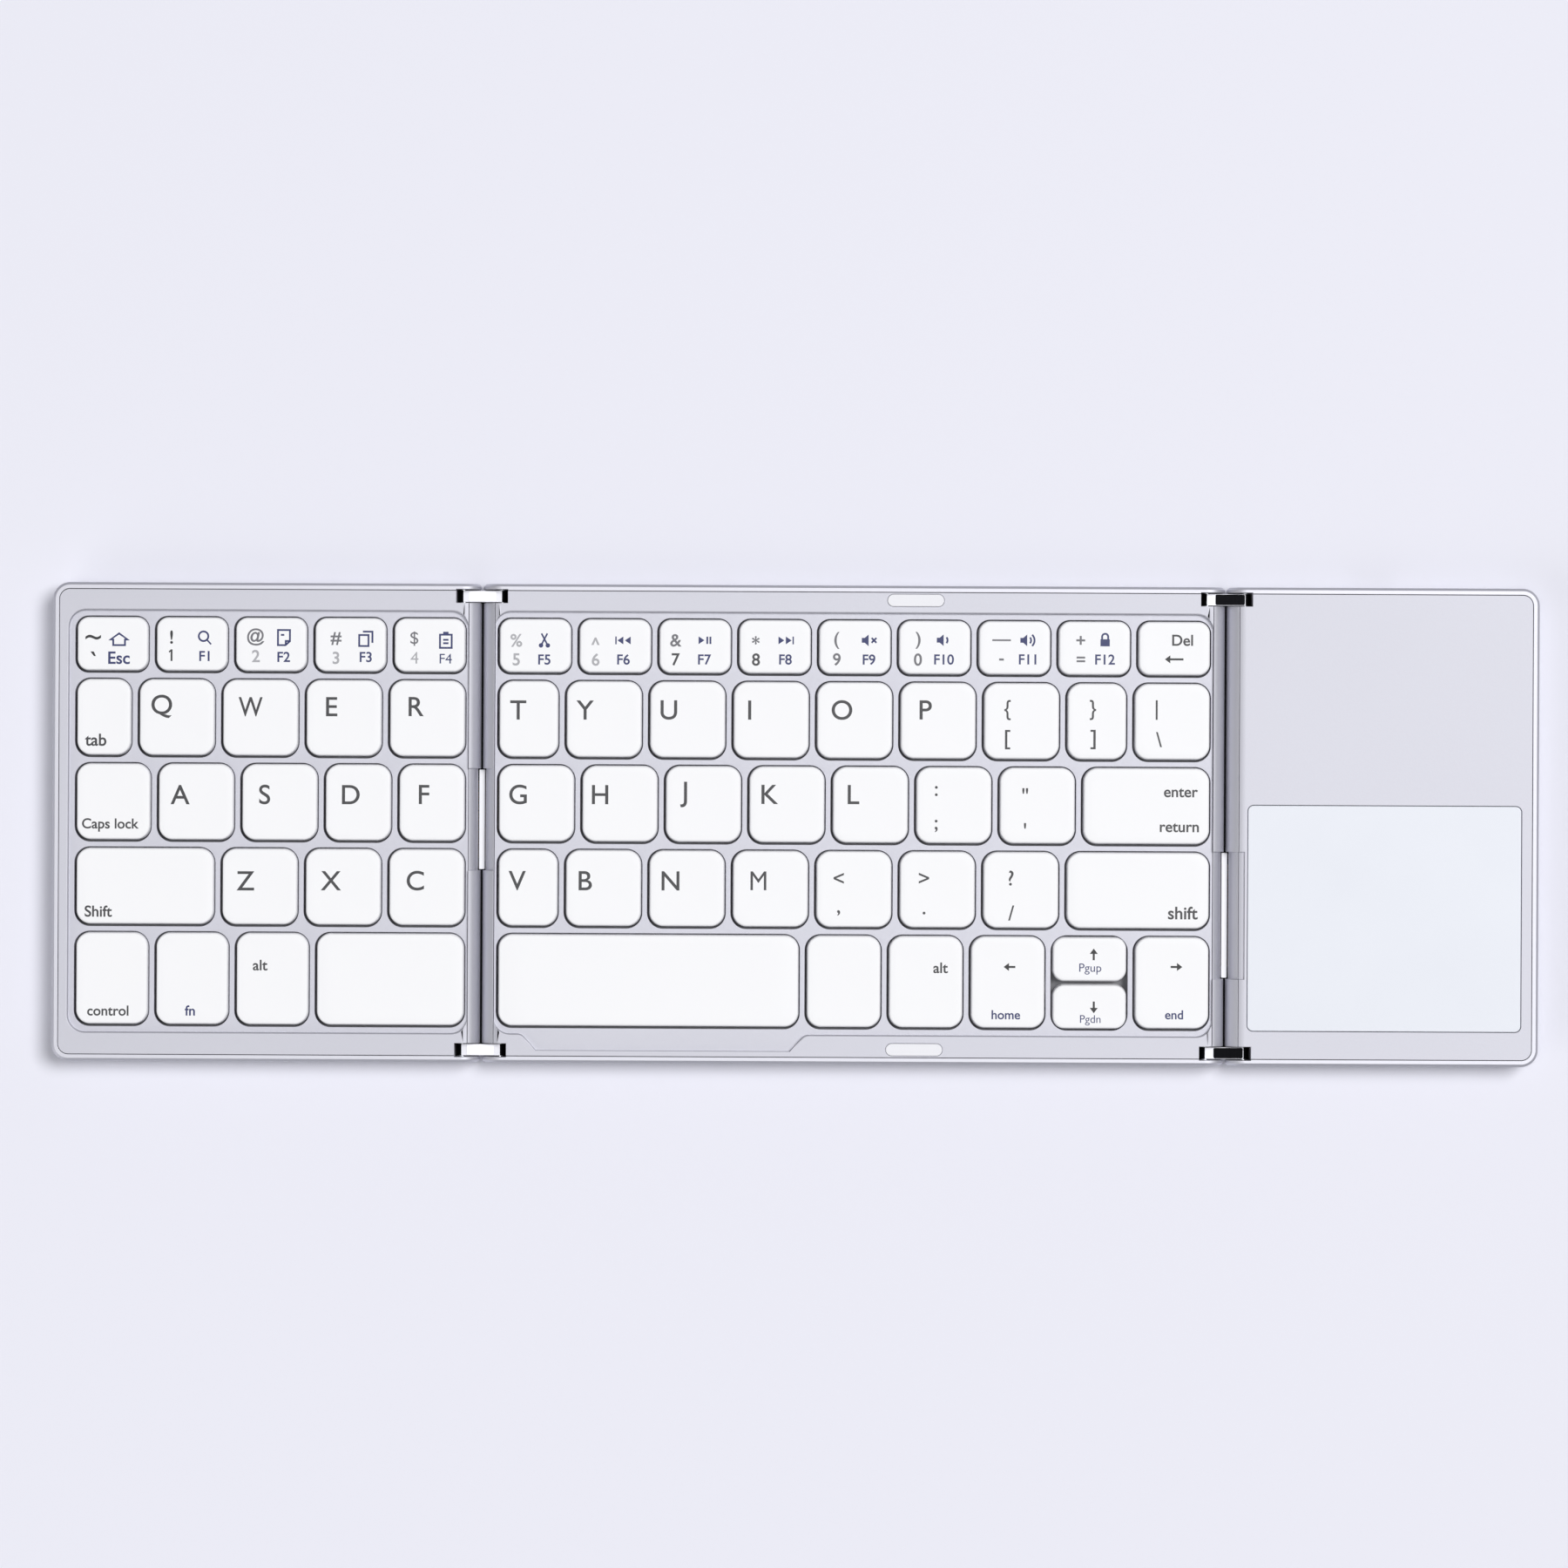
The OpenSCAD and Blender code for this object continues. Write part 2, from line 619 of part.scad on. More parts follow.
// Thumb hollow: the recess bulges forward between two slanted ends, and the deck's corners there
// are rounded by a circle that touches the recess and the slant
module thumb_hollow() {
    half = thumb_w / 2;
    x = half + thumb_slant;
    turn = atan(thumb_d / thumb_slant);
    t = thumb_r * tan(turn / 2);
    translate([left_hinge_x + thumb_x + half, recess_y0, recess_z])
        linear_extrude(recess_d + cut) {
            polygon([[-x, cut], [-x, 0], [-half, -thumb_d], [half, -thumb_d], [x, 0], [x, cut]]);
            for (side = [-1, 1]) difference() {
                polygon([[side * (x + t), cut], [side * (x + t), -thumb_r],
                         [side * (x - t * cos(turn)), -t * sin(turn)], [side * half, cut]]);
                translate([side * (x + t), -thumb_r]) circle(thumb_r);
            }
        }
}
module mid_deck() {
    g = deck_gap;
    h = half_d - rim_w - g;
    color(aluminium) difference() {
        intersection() {
            middle_panel_form();
            box(left_hinge_x + seam_x + g, right_hinge_x - seam_x - g, -h, h, ledge_z, top_z);
        }
        key_recess(left_hinge_x + seam_x, right_hinge_x - seam_x);
        thumb_hollow();
        well_cuts(mid_wells);
        right_of(left_hinge_x) left_hinge_cuts();
        left_of(right_hinge_x) right_hinge_cuts();
        for (s = [-1, 1]) magnet_pair(seam_mid_x + s * (magnet_side + fold_seam / 2), seat_gap);
        bumper_pair(seat_gap);
    }
}
module right_deck() {
    g = pad_gap;
    color(aluminium) difference() {
        right_of(right_hinge_x) outer_deck_blank(right_w);
        plate(pad_x0 - g, pad_x1 + g, pad_y0 - g, pad_y1 + g, ledge_z - cut, top_z + cut,
              pad_r + g);
        right_of(right_hinge_x) right_hinge_cuts();
        magnet_pair(total_w / 2 - magnet_side, seat_gap);
    }
}

module bumper_pair(gap) {
    front_and_rear() translate([bumper_x, bumper_y, top_z - bumper_seat])
        linear_extrude(bumper_seat + bumper_rise) pill(bumper_l, bumper_w, gap);
}
module mid_bumpers() { color(rubber) bumper_pair(0); }

module left_magnets() { color(chrome) magnet_pair(magnet_side - total_w / 2, 0); }
module right_magnets() { color(chrome) magnet_pair(total_w / 2 - magnet_side, 0); }
module mid_magnets() {
    color(chrome) for (s = [-1, 1])
        magnet_pair(seam_mid_x + s * (magnet_side + fold_seam / 2), 0);
}
module left_feet() { color(dark_rubber) left_of(left_hinge_x) outer_feet(left_w, 0); }
module right_feet() { color(dark_rubber) right_of(right_hinge_x) outer_feet(right_w, 0); }
module mid_feet() { color(dark_rubber) middle_feet(0); }

// Inner sheets: the switch membrane and the rubber sheet with a dome under each key
module left_sheet(z0, z1) {
    g = sheet_gap;
    translate([0, 0, z0]) linear_extrude(z1 - z0)
        translate([left_hinge_x, 0]) mirror([1, 0])
        translate([field_hinge, g - block_y])
        square([left_w - wall_t - g - field_hinge, 2 * (block_y - g)]);
}
module mid_sheet(z0, z1) {
    g = sheet_gap;
    box(mid_field[0], mid_field[1], g - block_y, block_y - g, z0, z1);
}
module domes(key_list) {
    h = stem_z - stem_gap - dome_sheet_top;
    for (k = key_list) translate([(k[0] + k[1]) / 2, (k[2] + k[3]) / 2, dome_sheet_top])
        difference() {
            cylinder(r1 = dome_foot_r, r2 = dome_top_r, h = h);
            translate([0, 0, -weld])
                cylinder(r1 = dome_foot_r - dome_wall, r2 = dome_top_r - dome_wall,
                         h = h - dome_wall);
        }
}
module left_membrane() { color("dimgray") left_sheet(membrane_z, dome_z); }
module mid_membrane() { color("dimgray") mid_sheet(membrane_z, dome_z); }
module left_dome_sheet() {
    color(dark_rubber) {
        left_sheet(dome_z, dome_sheet_top);
        domes(all_keys(left_wells));
    }
}
module mid_dome_sheet() {
    color(dark_rubber) {
        mid_sheet(dome_z, dome_sheet_top);
        domes(all_keys(mid_wells));
    }
}

// Keycap: a hollow cap with round corners, a bevelled top and a stem over its dome
module cap_form(w, d, r) {
    b = cap_bevel;
    x = w / 2;
    y = d / 2;
    z = cap_h - b;
    along_y(r - y, y - r)
        polygon([[-x, 0], [x, 0], [x, z], [x - b, cap_h], [b - x, cap_h], [-x, z]]);
    rotate([0, 0, 90]) along_y(r - x, x - r)
        polygon([[-y, 0], [y, 0], [y, z], [y - b, cap_h], [b - y, cap_h], [-y, z]]);
    for (cx = [r - x, x - r]) for (cy = [r - y, y - r]) translate([cx, cy, 0])
        rotate_extrude() polygon([[0, 0], [r, 0], [r, z], [r - b, cap_h], [0, cap_h]]);
}
module keycap(k) {
    w = k[1] - k[0];
    d = k[3] - k[2];
    r = k[4];
    ceiling = cap_h - cap_skin;
    x = w / 2 - cap_wall;
    y = d / 2 - cap_wall;
    translate([(k[0] + k[1]) / 2, (k[2] + k[3]) / 2, cap_z]) {
        difference() {
            cap_form(w, d, r);
            plate(-x, x, -y, y, -cut, ceiling, r - cap_wall);
        }
        translate([0, 0, stem_in]) cylinder(r = stem_r, h = ceiling + weld - stem_in);
    }
}
module keys_of(name) {
    color(key_white)
        for (k = concat(all_keys(left_wells), all_keys(mid_wells)))
            if (k[5] == name) keycap(k);
}
module key_esc() { keys_of("key_esc"); }
module key_tab() { keys_of("key_tab"); }
module key_caps_lock() { keys_of("key_caps_lock"); }
module key_left_shift() { keys_of("key_left_shift"); }
module key_control() { keys_of("key_control"); }
module key_fn() { keys_of("key_fn"); }
module key_left_alt() { keys_of("key_left_alt"); }
module key_left_space() { keys_of("key_left_space"); }
module keys_1_to_4() { keys_of("keys_1_to_4"); }
module keys_q_to_r() { keys_of("keys_q_to_r"); }
module keys_a_to_f() { keys_of("keys_a_to_f"); }
module keys_z_to_c() { keys_of("keys_z_to_c"); }
module keys_5_to_8() { keys_of("keys_5_to_8"); }
module keys_9_to_equals() { keys_of("keys_9_to_equals"); }
module keys_t_to_o() { keys_of("keys_t_to_o"); }
module keys_p_to_backslash() { keys_of("keys_p_to_backslash"); }
module keys_g_to_quote() { keys_of("keys_g_to_quote"); }
module keys_v_to_slash() { keys_of("keys_v_to_slash"); }
module key_del() { keys_of("key_del"); }
module key_enter() { keys_of("key_enter"); }
module key_right_shift() { keys_of("key_right_shift"); }
module key_right_space() { keys_of("key_right_space"); }
module key_option() { keys_of("key_option"); }
module key_right_alt() { keys_of("key_right_alt"); }
module key_left_arrow() { keys_of("key_left_arrow"); }
module key_up_arrow() { keys_of("key_up_arrow"); }
module key_down_arrow() { keys_of("key_down_arrow"); }
module key_right_arrow() { keys_of("key_right_arrow"); }

// Section of the hinge beam: it fills the hollow between the two spines below the pivots, and
// its sides are arcs round the pivots, so that both spines roll past it
module beam_section(top) {
    difference() {
        translate([-pivot_x, -beam_low]) square([2 * pivot_x, beam_low - top]);
        for (s = [-1, 1]) translate([s * pivot_x, 0]) circle(beam_r);
    }
}
module at_pivot_height() { translate([0, 0, pivot_z]) children(); }
// End link: two eyes joined by a web, with the beam's section below
module end_link_pair() {
    at_pivot_height() front_and_rear() along_y(link_y, link_y + link_w) difference() {
        union() {
            translate([-pivot_x, -eye_r]) square([2 * pivot_x, 2 * eye_r]);
            for (s = [-1, 1]) translate([s * pivot_x, 0]) circle(eye_r);
            beam_section(eye_r - weld);
        }
        for (s = [-1, 1]) translate([s * pivot_x, 0]) circle(pin_r + eye_gap);
    }
}
module hinge_beam(guard_y, guard_l) {
    at_pivot_height() difference() {
        along_y(-link_y, link_y) beam_section(beam_top);
        box(-pivot_x, pivot_x, guard_y - guard_l / 2, guard_y + guard_l / 2, -guard_foot, 0);
    }
}
module hinge_pins() {
    for (s = [-1, 1]) front_and_rear()
        bar_y(s * pivot_x, pin_y, half_d - pin_sink, pivot_z, pin_r);
}
// Cable guard: a plate on the beam, with a slit for the flat cable
module cable_guard(guard_y, guard_l) {
    slit = guard_l / 2 - flex_in + flex_gap;
    difference() {
        plate_y = guard_l / 2;
        box(-guard_t / 2, guard_t / 2, guard_y - plate_y, guard_y + plate_y,
            pivot_z - guard_foot, pivot_z - guard_top);
        box(-guard_t, guard_t, guard_y - slit, guard_y + slit, flex_z - flex_gap,
            flex_z + flex_t + flex_gap);
    }
}
module flex_cable(guard_y, guard_l) {
    half = guard_l / 2 - flex_in;
    box(-flex_reach, flex_reach, guard_y - half, guard_y + half, flex_z, flex_z + flex_t);
}
module left_hinge_beam() {
    color("silver") right_of(left_hinge_x) hinge_beam(left_guard_y, left_guard_l);
}
module right_hinge_beam() {
    color("dimgray") right_of(right_hinge_x) hinge_beam(right_guard_y, right_guard_l);
}
module left_end_links() { color(chrome) right_of(left_hinge_x) end_link_pair(); }
module right_end_links() { color("dimgray") right_of(right_hinge_x) end_link_pair(); }
module left_hinge_pins() { color("gray") right_of(left_hinge_x) hinge_pins(); }
module right_hinge_pins() { color("gray") right_of(right_hinge_x) hinge_pins(); }
module left_cable_guard() {
    color(key_white) right_of(left_hinge_x) cable_guard(left_guard_y, left_guard_l);
}
module right_cable_guard() {
    color(key_white) right_of(right_hinge_x) cable_guard(right_guard_y, right_guard_l);
}
module left_flex_cable() {
    color("orange") right_of(left_hinge_x) flex_cable(left_guard_y, left_guard_l);
}
module right_flex_cable() {
    color("orange") right_of(right_hinge_x) flex_cable(right_guard_y, right_guard_l);
}

module touchpad() {
    color([0.92, 0.94, 0.97])
        plate(pad_x0, pad_x1, pad_y0, pad_y1, ledge_z, top_z - pad_drop, pad_r);
}
module touchpad_board() {
    color(board_green)
        plate(right_hinge_x + cavity_x + sheet_gap, total_w / 2 - wall_t - sheet_gap,
              sheet_gap - block_y, pad_y1 + pad_lip, pad_board_z, ledge_z, pad_r + pad_lip);
}
// Battery, flat on the case floor below the touchpad
module battery() {
    ym = (pad_y0 + pad_y1) / 2;
    color("silver")
        plate(pad_mid_x - battery_w / 2, pad_mid_x + battery_w / 2, ym - battery_d / 2,
              ym + battery_d / 2, floor_z, floor_z + battery_t, battery_r);
}
// Outline of the charging socket, seen from the rear
module socket_outline(grow) { pill(socket_w, socket_h, grow); }
module socket_hole() {
    translate([socket_x, 0, pivot_z]) along_y(half_d - socket_l, half_d + cut)
        socket_outline(socket_gap);
}
module usb_socket() {
    color("silver") translate([right_hinge_x + socket_x, 0, pivot_z]) {
        difference() {
            along_y(socket_y0, socket_y1) socket_outline(0);
            along_y(socket_y0 + socket_wall, socket_y1 + cut) socket_outline(-socket_wall);
        }
        box(-tongue_w / 2, tongue_w / 2, socket_y0, socket_y1 - tongue_in,
            -tongue_t / 2, tongue_t / 2);
    }
}
module main_board() {
    top = membrane_z + board_t;
    x0 = pad_mid_x - board_w / 2;
    x1 = pad_mid_x + board_w / 2;
    chip_y = board_y0 + chip_in;
    color(board_green) difference() {
        union() {
            plate(x0, x1, board_y0, board_y1, membrane_z, top, board_r);
            box(x0 + chip_in, x0 + chip_in + chip_w, chip_y, chip_y + chip_w, top, top + chip_t);
            box(x1 - chip_in - chip_w, x1 - chip_in, chip_y, chip_y + chip_w, top, top + chip_t);
        }
        translate([right_hinge_x + socket_x, 0, pivot_z])
            along_y(socket_y0, half_d) socket_outline(0);
    }
}

mid_case();
mid_deck();
mid_dome_sheet();
mid_membrane();
mid_magnets();
mid_bumpers();
mid_feet();
left_case();
left_deck();
left_dome_sheet();
left_membrane();
left_magnets();
left_feet();
right_case();
right_deck();
touchpad();
touchpad_board();
main_board();
battery();
usb_socket();
right_magnets();
right_feet();
left_hinge_beam();
left_end_links();
left_hinge_pins();
left_cable_guard();
left_flex_cable();
right_hinge_beam();
right_end_links();
right_hinge_pins();
right_cable_guard();
right_flex_cable();
key_esc();
key_tab();
key_caps_lock();
key_left_shift();
key_control();
key_fn();
key_left_alt();
key_left_space();
keys_1_to_4();
keys_q_to_r();
keys_a_to_f();
keys_z_to_c();
keys_5_to_8();
keys_9_to_equals();
keys_t_to_o();
keys_p_to_backslash();
keys_g_to_quote();
keys_v_to_slash();
key_del();
key_enter();
key_right_shift();
key_right_space();
key_option();
key_right_alt();
key_left_arrow();
key_up_arrow();
key_down_arrow();
key_right_arrow();
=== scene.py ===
import math

import bmesh
import bpy
from mathutils import Matrix, Vector
from mathutils.bvhtree import BVHTree


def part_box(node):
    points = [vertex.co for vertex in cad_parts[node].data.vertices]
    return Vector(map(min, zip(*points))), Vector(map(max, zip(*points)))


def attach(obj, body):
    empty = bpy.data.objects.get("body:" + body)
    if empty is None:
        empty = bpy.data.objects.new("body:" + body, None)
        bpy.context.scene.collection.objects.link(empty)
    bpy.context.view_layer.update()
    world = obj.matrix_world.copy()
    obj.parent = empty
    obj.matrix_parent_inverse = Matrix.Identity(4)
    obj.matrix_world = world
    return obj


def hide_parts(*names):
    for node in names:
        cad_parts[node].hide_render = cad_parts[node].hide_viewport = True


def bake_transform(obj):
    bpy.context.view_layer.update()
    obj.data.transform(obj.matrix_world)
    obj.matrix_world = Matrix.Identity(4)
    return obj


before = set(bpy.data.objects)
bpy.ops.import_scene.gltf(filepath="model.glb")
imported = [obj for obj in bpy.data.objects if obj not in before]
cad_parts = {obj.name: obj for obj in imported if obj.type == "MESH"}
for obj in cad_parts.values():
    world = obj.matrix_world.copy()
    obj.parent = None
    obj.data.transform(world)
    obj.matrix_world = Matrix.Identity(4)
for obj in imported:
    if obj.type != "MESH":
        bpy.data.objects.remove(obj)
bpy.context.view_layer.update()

MM = 0.001


# ---- Table, light and camera ----------------------------------------------------------
# The keyboard lies open on a sheet of pale lavender paper, under a large soft lamp at the
# upper right and two weak ones, above it and low at the front left, which show in the
# rounded metal edges. The camera looks straight down through a long lens.

class Wire:
    """An output socket of a node tree. Sums on wires become Math nodes."""

    def __init__(self, tree, socket):
        self.tree = tree
        self.socket = socket

    def node(self, kind, settings, sockets, output=0):
        """A node of any kind: its settings are set first, then its sockets."""
        made = self.tree.nodes.new(kind)
        for key, value in settings.items():
            setattr(made, key, value)
        for key, value in sockets.items():
            if isinstance(value, Wire):
                self.tree.links.new(value.socket, made.inputs[key])
            else:
                made.inputs[key].default_value = value
        return Wire(self.tree, made.outputs[output])

    def math(self, operation, a, b=0.0):
        return self.node("ShaderNodeMath", {"operation": operation}, {0: a, 1: b})

    def __add__(self, other):
        return self.math("ADD", self, other)

    def __radd__(self, other):
        return self.math("ADD", other, self)

    def __sub__(self, other):
        return self.math("SUBTRACT", self, other)

    def __rsub__(self, other):
        return self.math("SUBTRACT", other, self)

    def __mul__(self, other):
        return self.math("MULTIPLY", self, other)

    def __rmul__(self, other):
        return self.math("MULTIPLY", other, self)

    def __truediv__(self, other):
        return self.math("DIVIDE", self, other)

    def __rtruediv__(self, other):
        return self.math("DIVIDE", other, self)

    def __gt__(self, other):
        return self.math("GREATER_THAN", self, other)

    def __lt__(self, other):
        return self.math("LESS_THAN", self, other)


def linear(red, green, blue):
    """A screen colour of 0 to 255 in the linear light that the shaders take."""
    def one(value):
        value /= 255
        return value / 12.92 if value <= 0.04045 else ((value + 0.055) / 1.055) ** 2.4
    return (one(red), one(green), one(blue), 1.0)


def blank_material(name):
    """A new material and a wire on its shader tree, from which its nodes are made."""
    material = bpy.data.materials.new(name)
    material.use_nodes = True
    return material, Wire(material.node_tree, None)


def object_place(wire):
    """The point that is shaded, in the piece's own coordinates."""
    return wire.node("ShaderNodeTexCoord", {}, {}, "Object")


def noise(wire, scale, detail=2.0, roughness=0.5, place=None):
    """Noise of a given number of waves per metre."""
    return wire.node("ShaderNodeTexNoise", {},
                     {"Vector": place or object_place(wire), "Scale": scale, "Detail": detail,
                      "Roughness": roughness})


def feed(material, colour=None, roughness=None, height=None, depth=0.0, strength=1.0):
    """Links colour, roughness and a bump of a given depth to a material's shader."""
    shader = material.node_tree.nodes["Principled BSDF"]
    links = material.node_tree.links
    if colour:
        links.new(colour.socket, shader.inputs["Base Color"])
    if roughness:
        links.new(roughness.socket, shader.inputs["Roughness"])
    if height:
        bump = height.node("ShaderNodeBump", {}, {"Height": height, "Strength": strength,
                                                  "Distance": depth})
        links.new(bump.socket, shader.inputs["Normal"])
    return shader


def add_object(name, data):
    """A new object at the origin, in the scene."""
    thing = bpy.data.objects.new(name, data)
    bpy.context.scene.collection.objects.link(thing)
    return thing


PAPER = linear(236, 236, 246)
PAPER_SIDE = 6.0
paper, wire = blank_material("table_paper")
shader = feed(paper, height=noise(wire, 900.0, 3.0), depth=0.1 * MM, strength=0.05)
shader.inputs["Base Color"].default_value = PAPER
shader.inputs["Roughness"].default_value = 0.9
shader.inputs["Specular IOR Level"].default_value = 0.1

table_mesh = bpy.data.meshes.new("table")
half = PAPER_SIDE / 2
table_mesh.from_pydata([(-half, -half, 0), (half, -half, 0), (half, half, 0),
                        (-half, half, 0)], [], [(0, 1, 2, 3)])
table = add_object("table", table_mesh)
table.data.materials.append(paper)

SKY_TINT = (0.98, 0.99, 1.0, 1.0)
SKY_LEVEL = 0.16
world = bpy.data.worlds.new("studio")
world.use_nodes = True
bpy.context.scene.world = world
sky = world.node_tree.nodes["Background"]
sky.inputs["Color"].default_value = SKY_TINT
sky.inputs["Strength"].default_value = SKY_LEVEL

LAMPS = [
    # name, place and side in metres, power in watts
    ("key_lamp", (1.6, 0.88, 3.84), 1.84, 130.0),
    ("top_lamp", (-0.2, -0.05, 2.4), 0.7, 7.2),
    ("side_lamp", (-1.3, -0.85, 0.8), 1.4, 8.2),
]
for name, place, side, power in LAMPS:
    light = bpy.data.lights.new(name, "AREA")
    light.shape = "SQUARE"
    light.size = side
    light.energy = power
    lamp = add_object(name, light)
    lamp.location = place
    # It faces the middle of the keyboard, which is the origin
    lamp.rotation_euler = (-Vector(place)).to_track_quat("-Z", "Y").to_euler()

# The picture is 321 mm wide at the height of the keys. Its middle lies a little left of the
# keyboard's and behind it, and it is turned by a quarter of a degree
VIEW_WIDTH = 321.1 * MM
VIEW_LEVEL = 7.6 * MM
VIEW_CENTRE = (-2.4 * MM, 8.3 * MM)
VIEW_TURN = math.radians(0.27)
LENS = 135.0
SENSOR = 36.0
camera_data = bpy.data.cameras.new("camera")
camera_data.lens = LENS
camera_data.sensor_width = SENSOR
camera = add_object("camera", camera_data)
camera.location = (*VIEW_CENTRE, VIEW_LEVEL + VIEW_WIDTH * LENS / SENSOR)
camera.rotation_euler = (0, 0, VIEW_TURN)
bpy.context.scene.camera = camera
bpy.context.scene.view_settings.view_transform = "Standard"


# ---- Works inside the panels ----------------------------------------------------------
# Under the keys lie a printed switch film and a grey rubber sheet with a dome for each key.
# The right panel holds the pouch battery, the main board with the charging socket, and the
# touchpad's own board. Small nickel-plated magnets sit in the decks' front and rear edges.

BOARD_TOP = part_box("main_board")[0][2] + 0.82 * MM   # chips stand on it
CHIP_FRONT = 12 * MM                                 # and behind this line


def paint(node, material):
    """Gives a CAD piece that stays as it is a material."""
    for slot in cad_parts[node].material_slots:
        slot.material = material


def blend_of(factor, dark, light):
    """A colour between two others."""
    return factor.node("ShaderNodeMix", {"data_type": "RGBA"},
                       {"Factor": factor, 6: dark, 7: light}, 2)


def parts_of(vector):
    """The three coordinates of a vector."""
    split = vector.node("ShaderNodeSeparateXYZ", {}, {"Vector": vector})
    return [Wire(vector.tree, split.socket.node.outputs[axis]) for axis in "XYZ"]


def rubber(name, dark, light):
    """Moulded rubber: matte, with a fine even pitting."""
    material, wire = blank_material(name)
    pits = noise(wire, 2600.0)
    cloud = noise(wire, 90.0)
    feed(material, blend_of(cloud, dark, light), 0.62 + 0.16 * cloud, pits, 0.01 * MM)
    return material


def switch_film():
    """Dark polyester film with printed silver tracks that run to and fro."""
    material, wire = blank_material("switch_film")
    y = parts_of(object_place(wire))[1]
    row = wire.math("SINE", y * 3900.0) > 0.55   # a track every 1.6 mm
    track = row * (noise(wire, 60.0, 0.0) > 0.5)
    feed(material, blend_of(track, linear(38, 38, 42), linear(96, 96, 100)),
         0.30 + 0.14 * noise(wire, 400.0), track, 0.01 * MM)
    return material


def circuit_board():
    """Green solder mask over copper tracks, and black chips that stand on it."""
    material, wire = blank_material("circuit_board")
    x, y, z = parts_of(object_place(wire))
    lengthwise = (wire.math("FRACT", x * 620.0) > 0.72) * (noise(wire, 160.0, 0.0) > 0.48)
    crosswise = (wire.math("FRACT", y * 540.0) > 0.78) * (noise(wire, 120.0, 0.0) < 0.46)
    track = wire.math("MAXIMUM", lengthwise, crosswise)
    chip = (z > BOARD_TOP) * (y > CHIP_FRONT)
    mask = blend_of(track, linear(18, 74, 46), linear(44, 112, 70))
    feed(material, blend_of(chip, mask, linear(34, 34, 36)), 0.34 + 0.3 * chip,
         track + 3.0 * chip, 0.02 * MM)
    return material


def battery_foil():
    """Aluminium laminate foil of a pouch cell, softly creased."""
    material, wire = blank_material("battery_foil")
    crease = noise(wire, 75.0, 6.0)
    shader = feed(material, blend_of(crease, linear(168, 170, 174), linear(196, 198, 202)),
                  0.28 + 0.2 * crease, crease, 0.4 * MM)
    shader.inputs["Metallic"].default_value = 1.0
    return material


def plated_metal(name, dark, light, roughness, scale):
    """Plated or turned metal with faint marks of its making, drawn out along one axis."""
    material, wire = blank_material(name)
    stretched = wire.node("ShaderNodeVectorMath", {"operation": "MULTIPLY"},
                          {0: object_place(wire), 1: (1.0, 0.06, 1.0)})
    marks = noise(wire, scale, 3.0, place=stretched)
    shader = feed(material, blend_of(marks, dark, light), roughness - 0.06 + 0.12 * marks,
                  marks, 0.004 * MM)
    shader.inputs["Metallic"].default_value = 1.0
    return material


dome_rubber = rubber("dome_rubber", linear(148, 148, 153), linear(162, 162, 167))
printed_film = switch_film()
for side in ("left", "mid"):
    paint(side + "_membrane", printed_film)
    paint(side + "_dome_sheet", dome_rubber)
green_board = circuit_board()
for node in ("main_board", "touchpad_board"):
    paint(node, green_board)
paint("battery", battery_foil())
magnet_nickel = plated_metal("magnet_nickel", linear(188, 189, 194), linear(204, 205, 210),
                             0.22, 1800.0)
for side in ("left", "mid", "right"):
    paint(side + "_magnets", magnet_nickel)
socket_steel = plated_metal("socket_steel", linear(190, 190, 194), linear(208, 208, 212),
                            0.3, 2400.0)
paint("usb_socket", socket_steel)


# ---- Cases and decks ------------------------------------------------------------------
# Each panel is a shallow aluminium case with a deck let into it. Both are milled, bead
# blasted and anodised silver, so they have a very fine even grain, and their edges are
# broken by a narrow bevel. The edge of the recess round the keys is rounded wider.

WELD = 1e-6                # points this near each other, in metres, become one
FLAT = math.radians(0.5)   # faces that turn by less than this become one
SHARP = math.radians(28)   # edges that turn by more than this are broken
EDGE_STEPS = 3


def smooth_copy(node, name, bevel, share=lambda a, b: 1.0):
    """A copy of a CAD piece as one closed mesh, with its edges broken by a small bevel.
    share(a, b) gives the part of that bevel for the edge between two points."""
    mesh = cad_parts[node].data.copy()
    mesh.materials.clear()
    if "custom_normal" in mesh.attributes:
        mesh.attributes.remove(mesh.attributes["custom_normal"])
    shape = bmesh.new()
    shape.from_mesh(mesh)
    bmesh.ops.remove_doubles(shape, verts=shape.verts, dist=WELD)
    bmesh.ops.dissolve_limit(shape, angle_limit=FLAT, verts=shape.verts, edges=shape.edges)
    weight = shape.edges.layers.float.new("bevel_weight_edge")
    for edge in shape.edges:
        if len(edge.link_faces) == 2 and edge.calc_face_angle() > SHARP:
            edge[weight] = share(*(v.co for v in edge.verts))
    shape.to_mesh(mesh)
    shape.free()
    piece = add_object(name, mesh)
    broken = piece.modifiers.new("edges", "BEVEL")
    broken.width = bevel
    broken.segments = EDGE_STEPS
    broken.limit_method = "WEIGHT"
    broken.harden_normals = True
    broken.use_clamp_overlap = False
    return freeze(piece)


def freeze(piece):
    """Replaces a piece's modifiers by the mesh that they make."""
    graph = bpy.context.evaluated_depsgraph_get()
    made = bpy.data.meshes.new_from_object(piece.evaluated_get(graph),
                                           preserve_all_data_layers=True, depsgraph=graph)
    piece.modifiers.clear()
    piece.data = made
    return piece


def shade(tone, by):
    """A colour made darker or lighter by a factor."""
    return (*(min(1.0, by * c) for c in tone[:3]), 1.0)


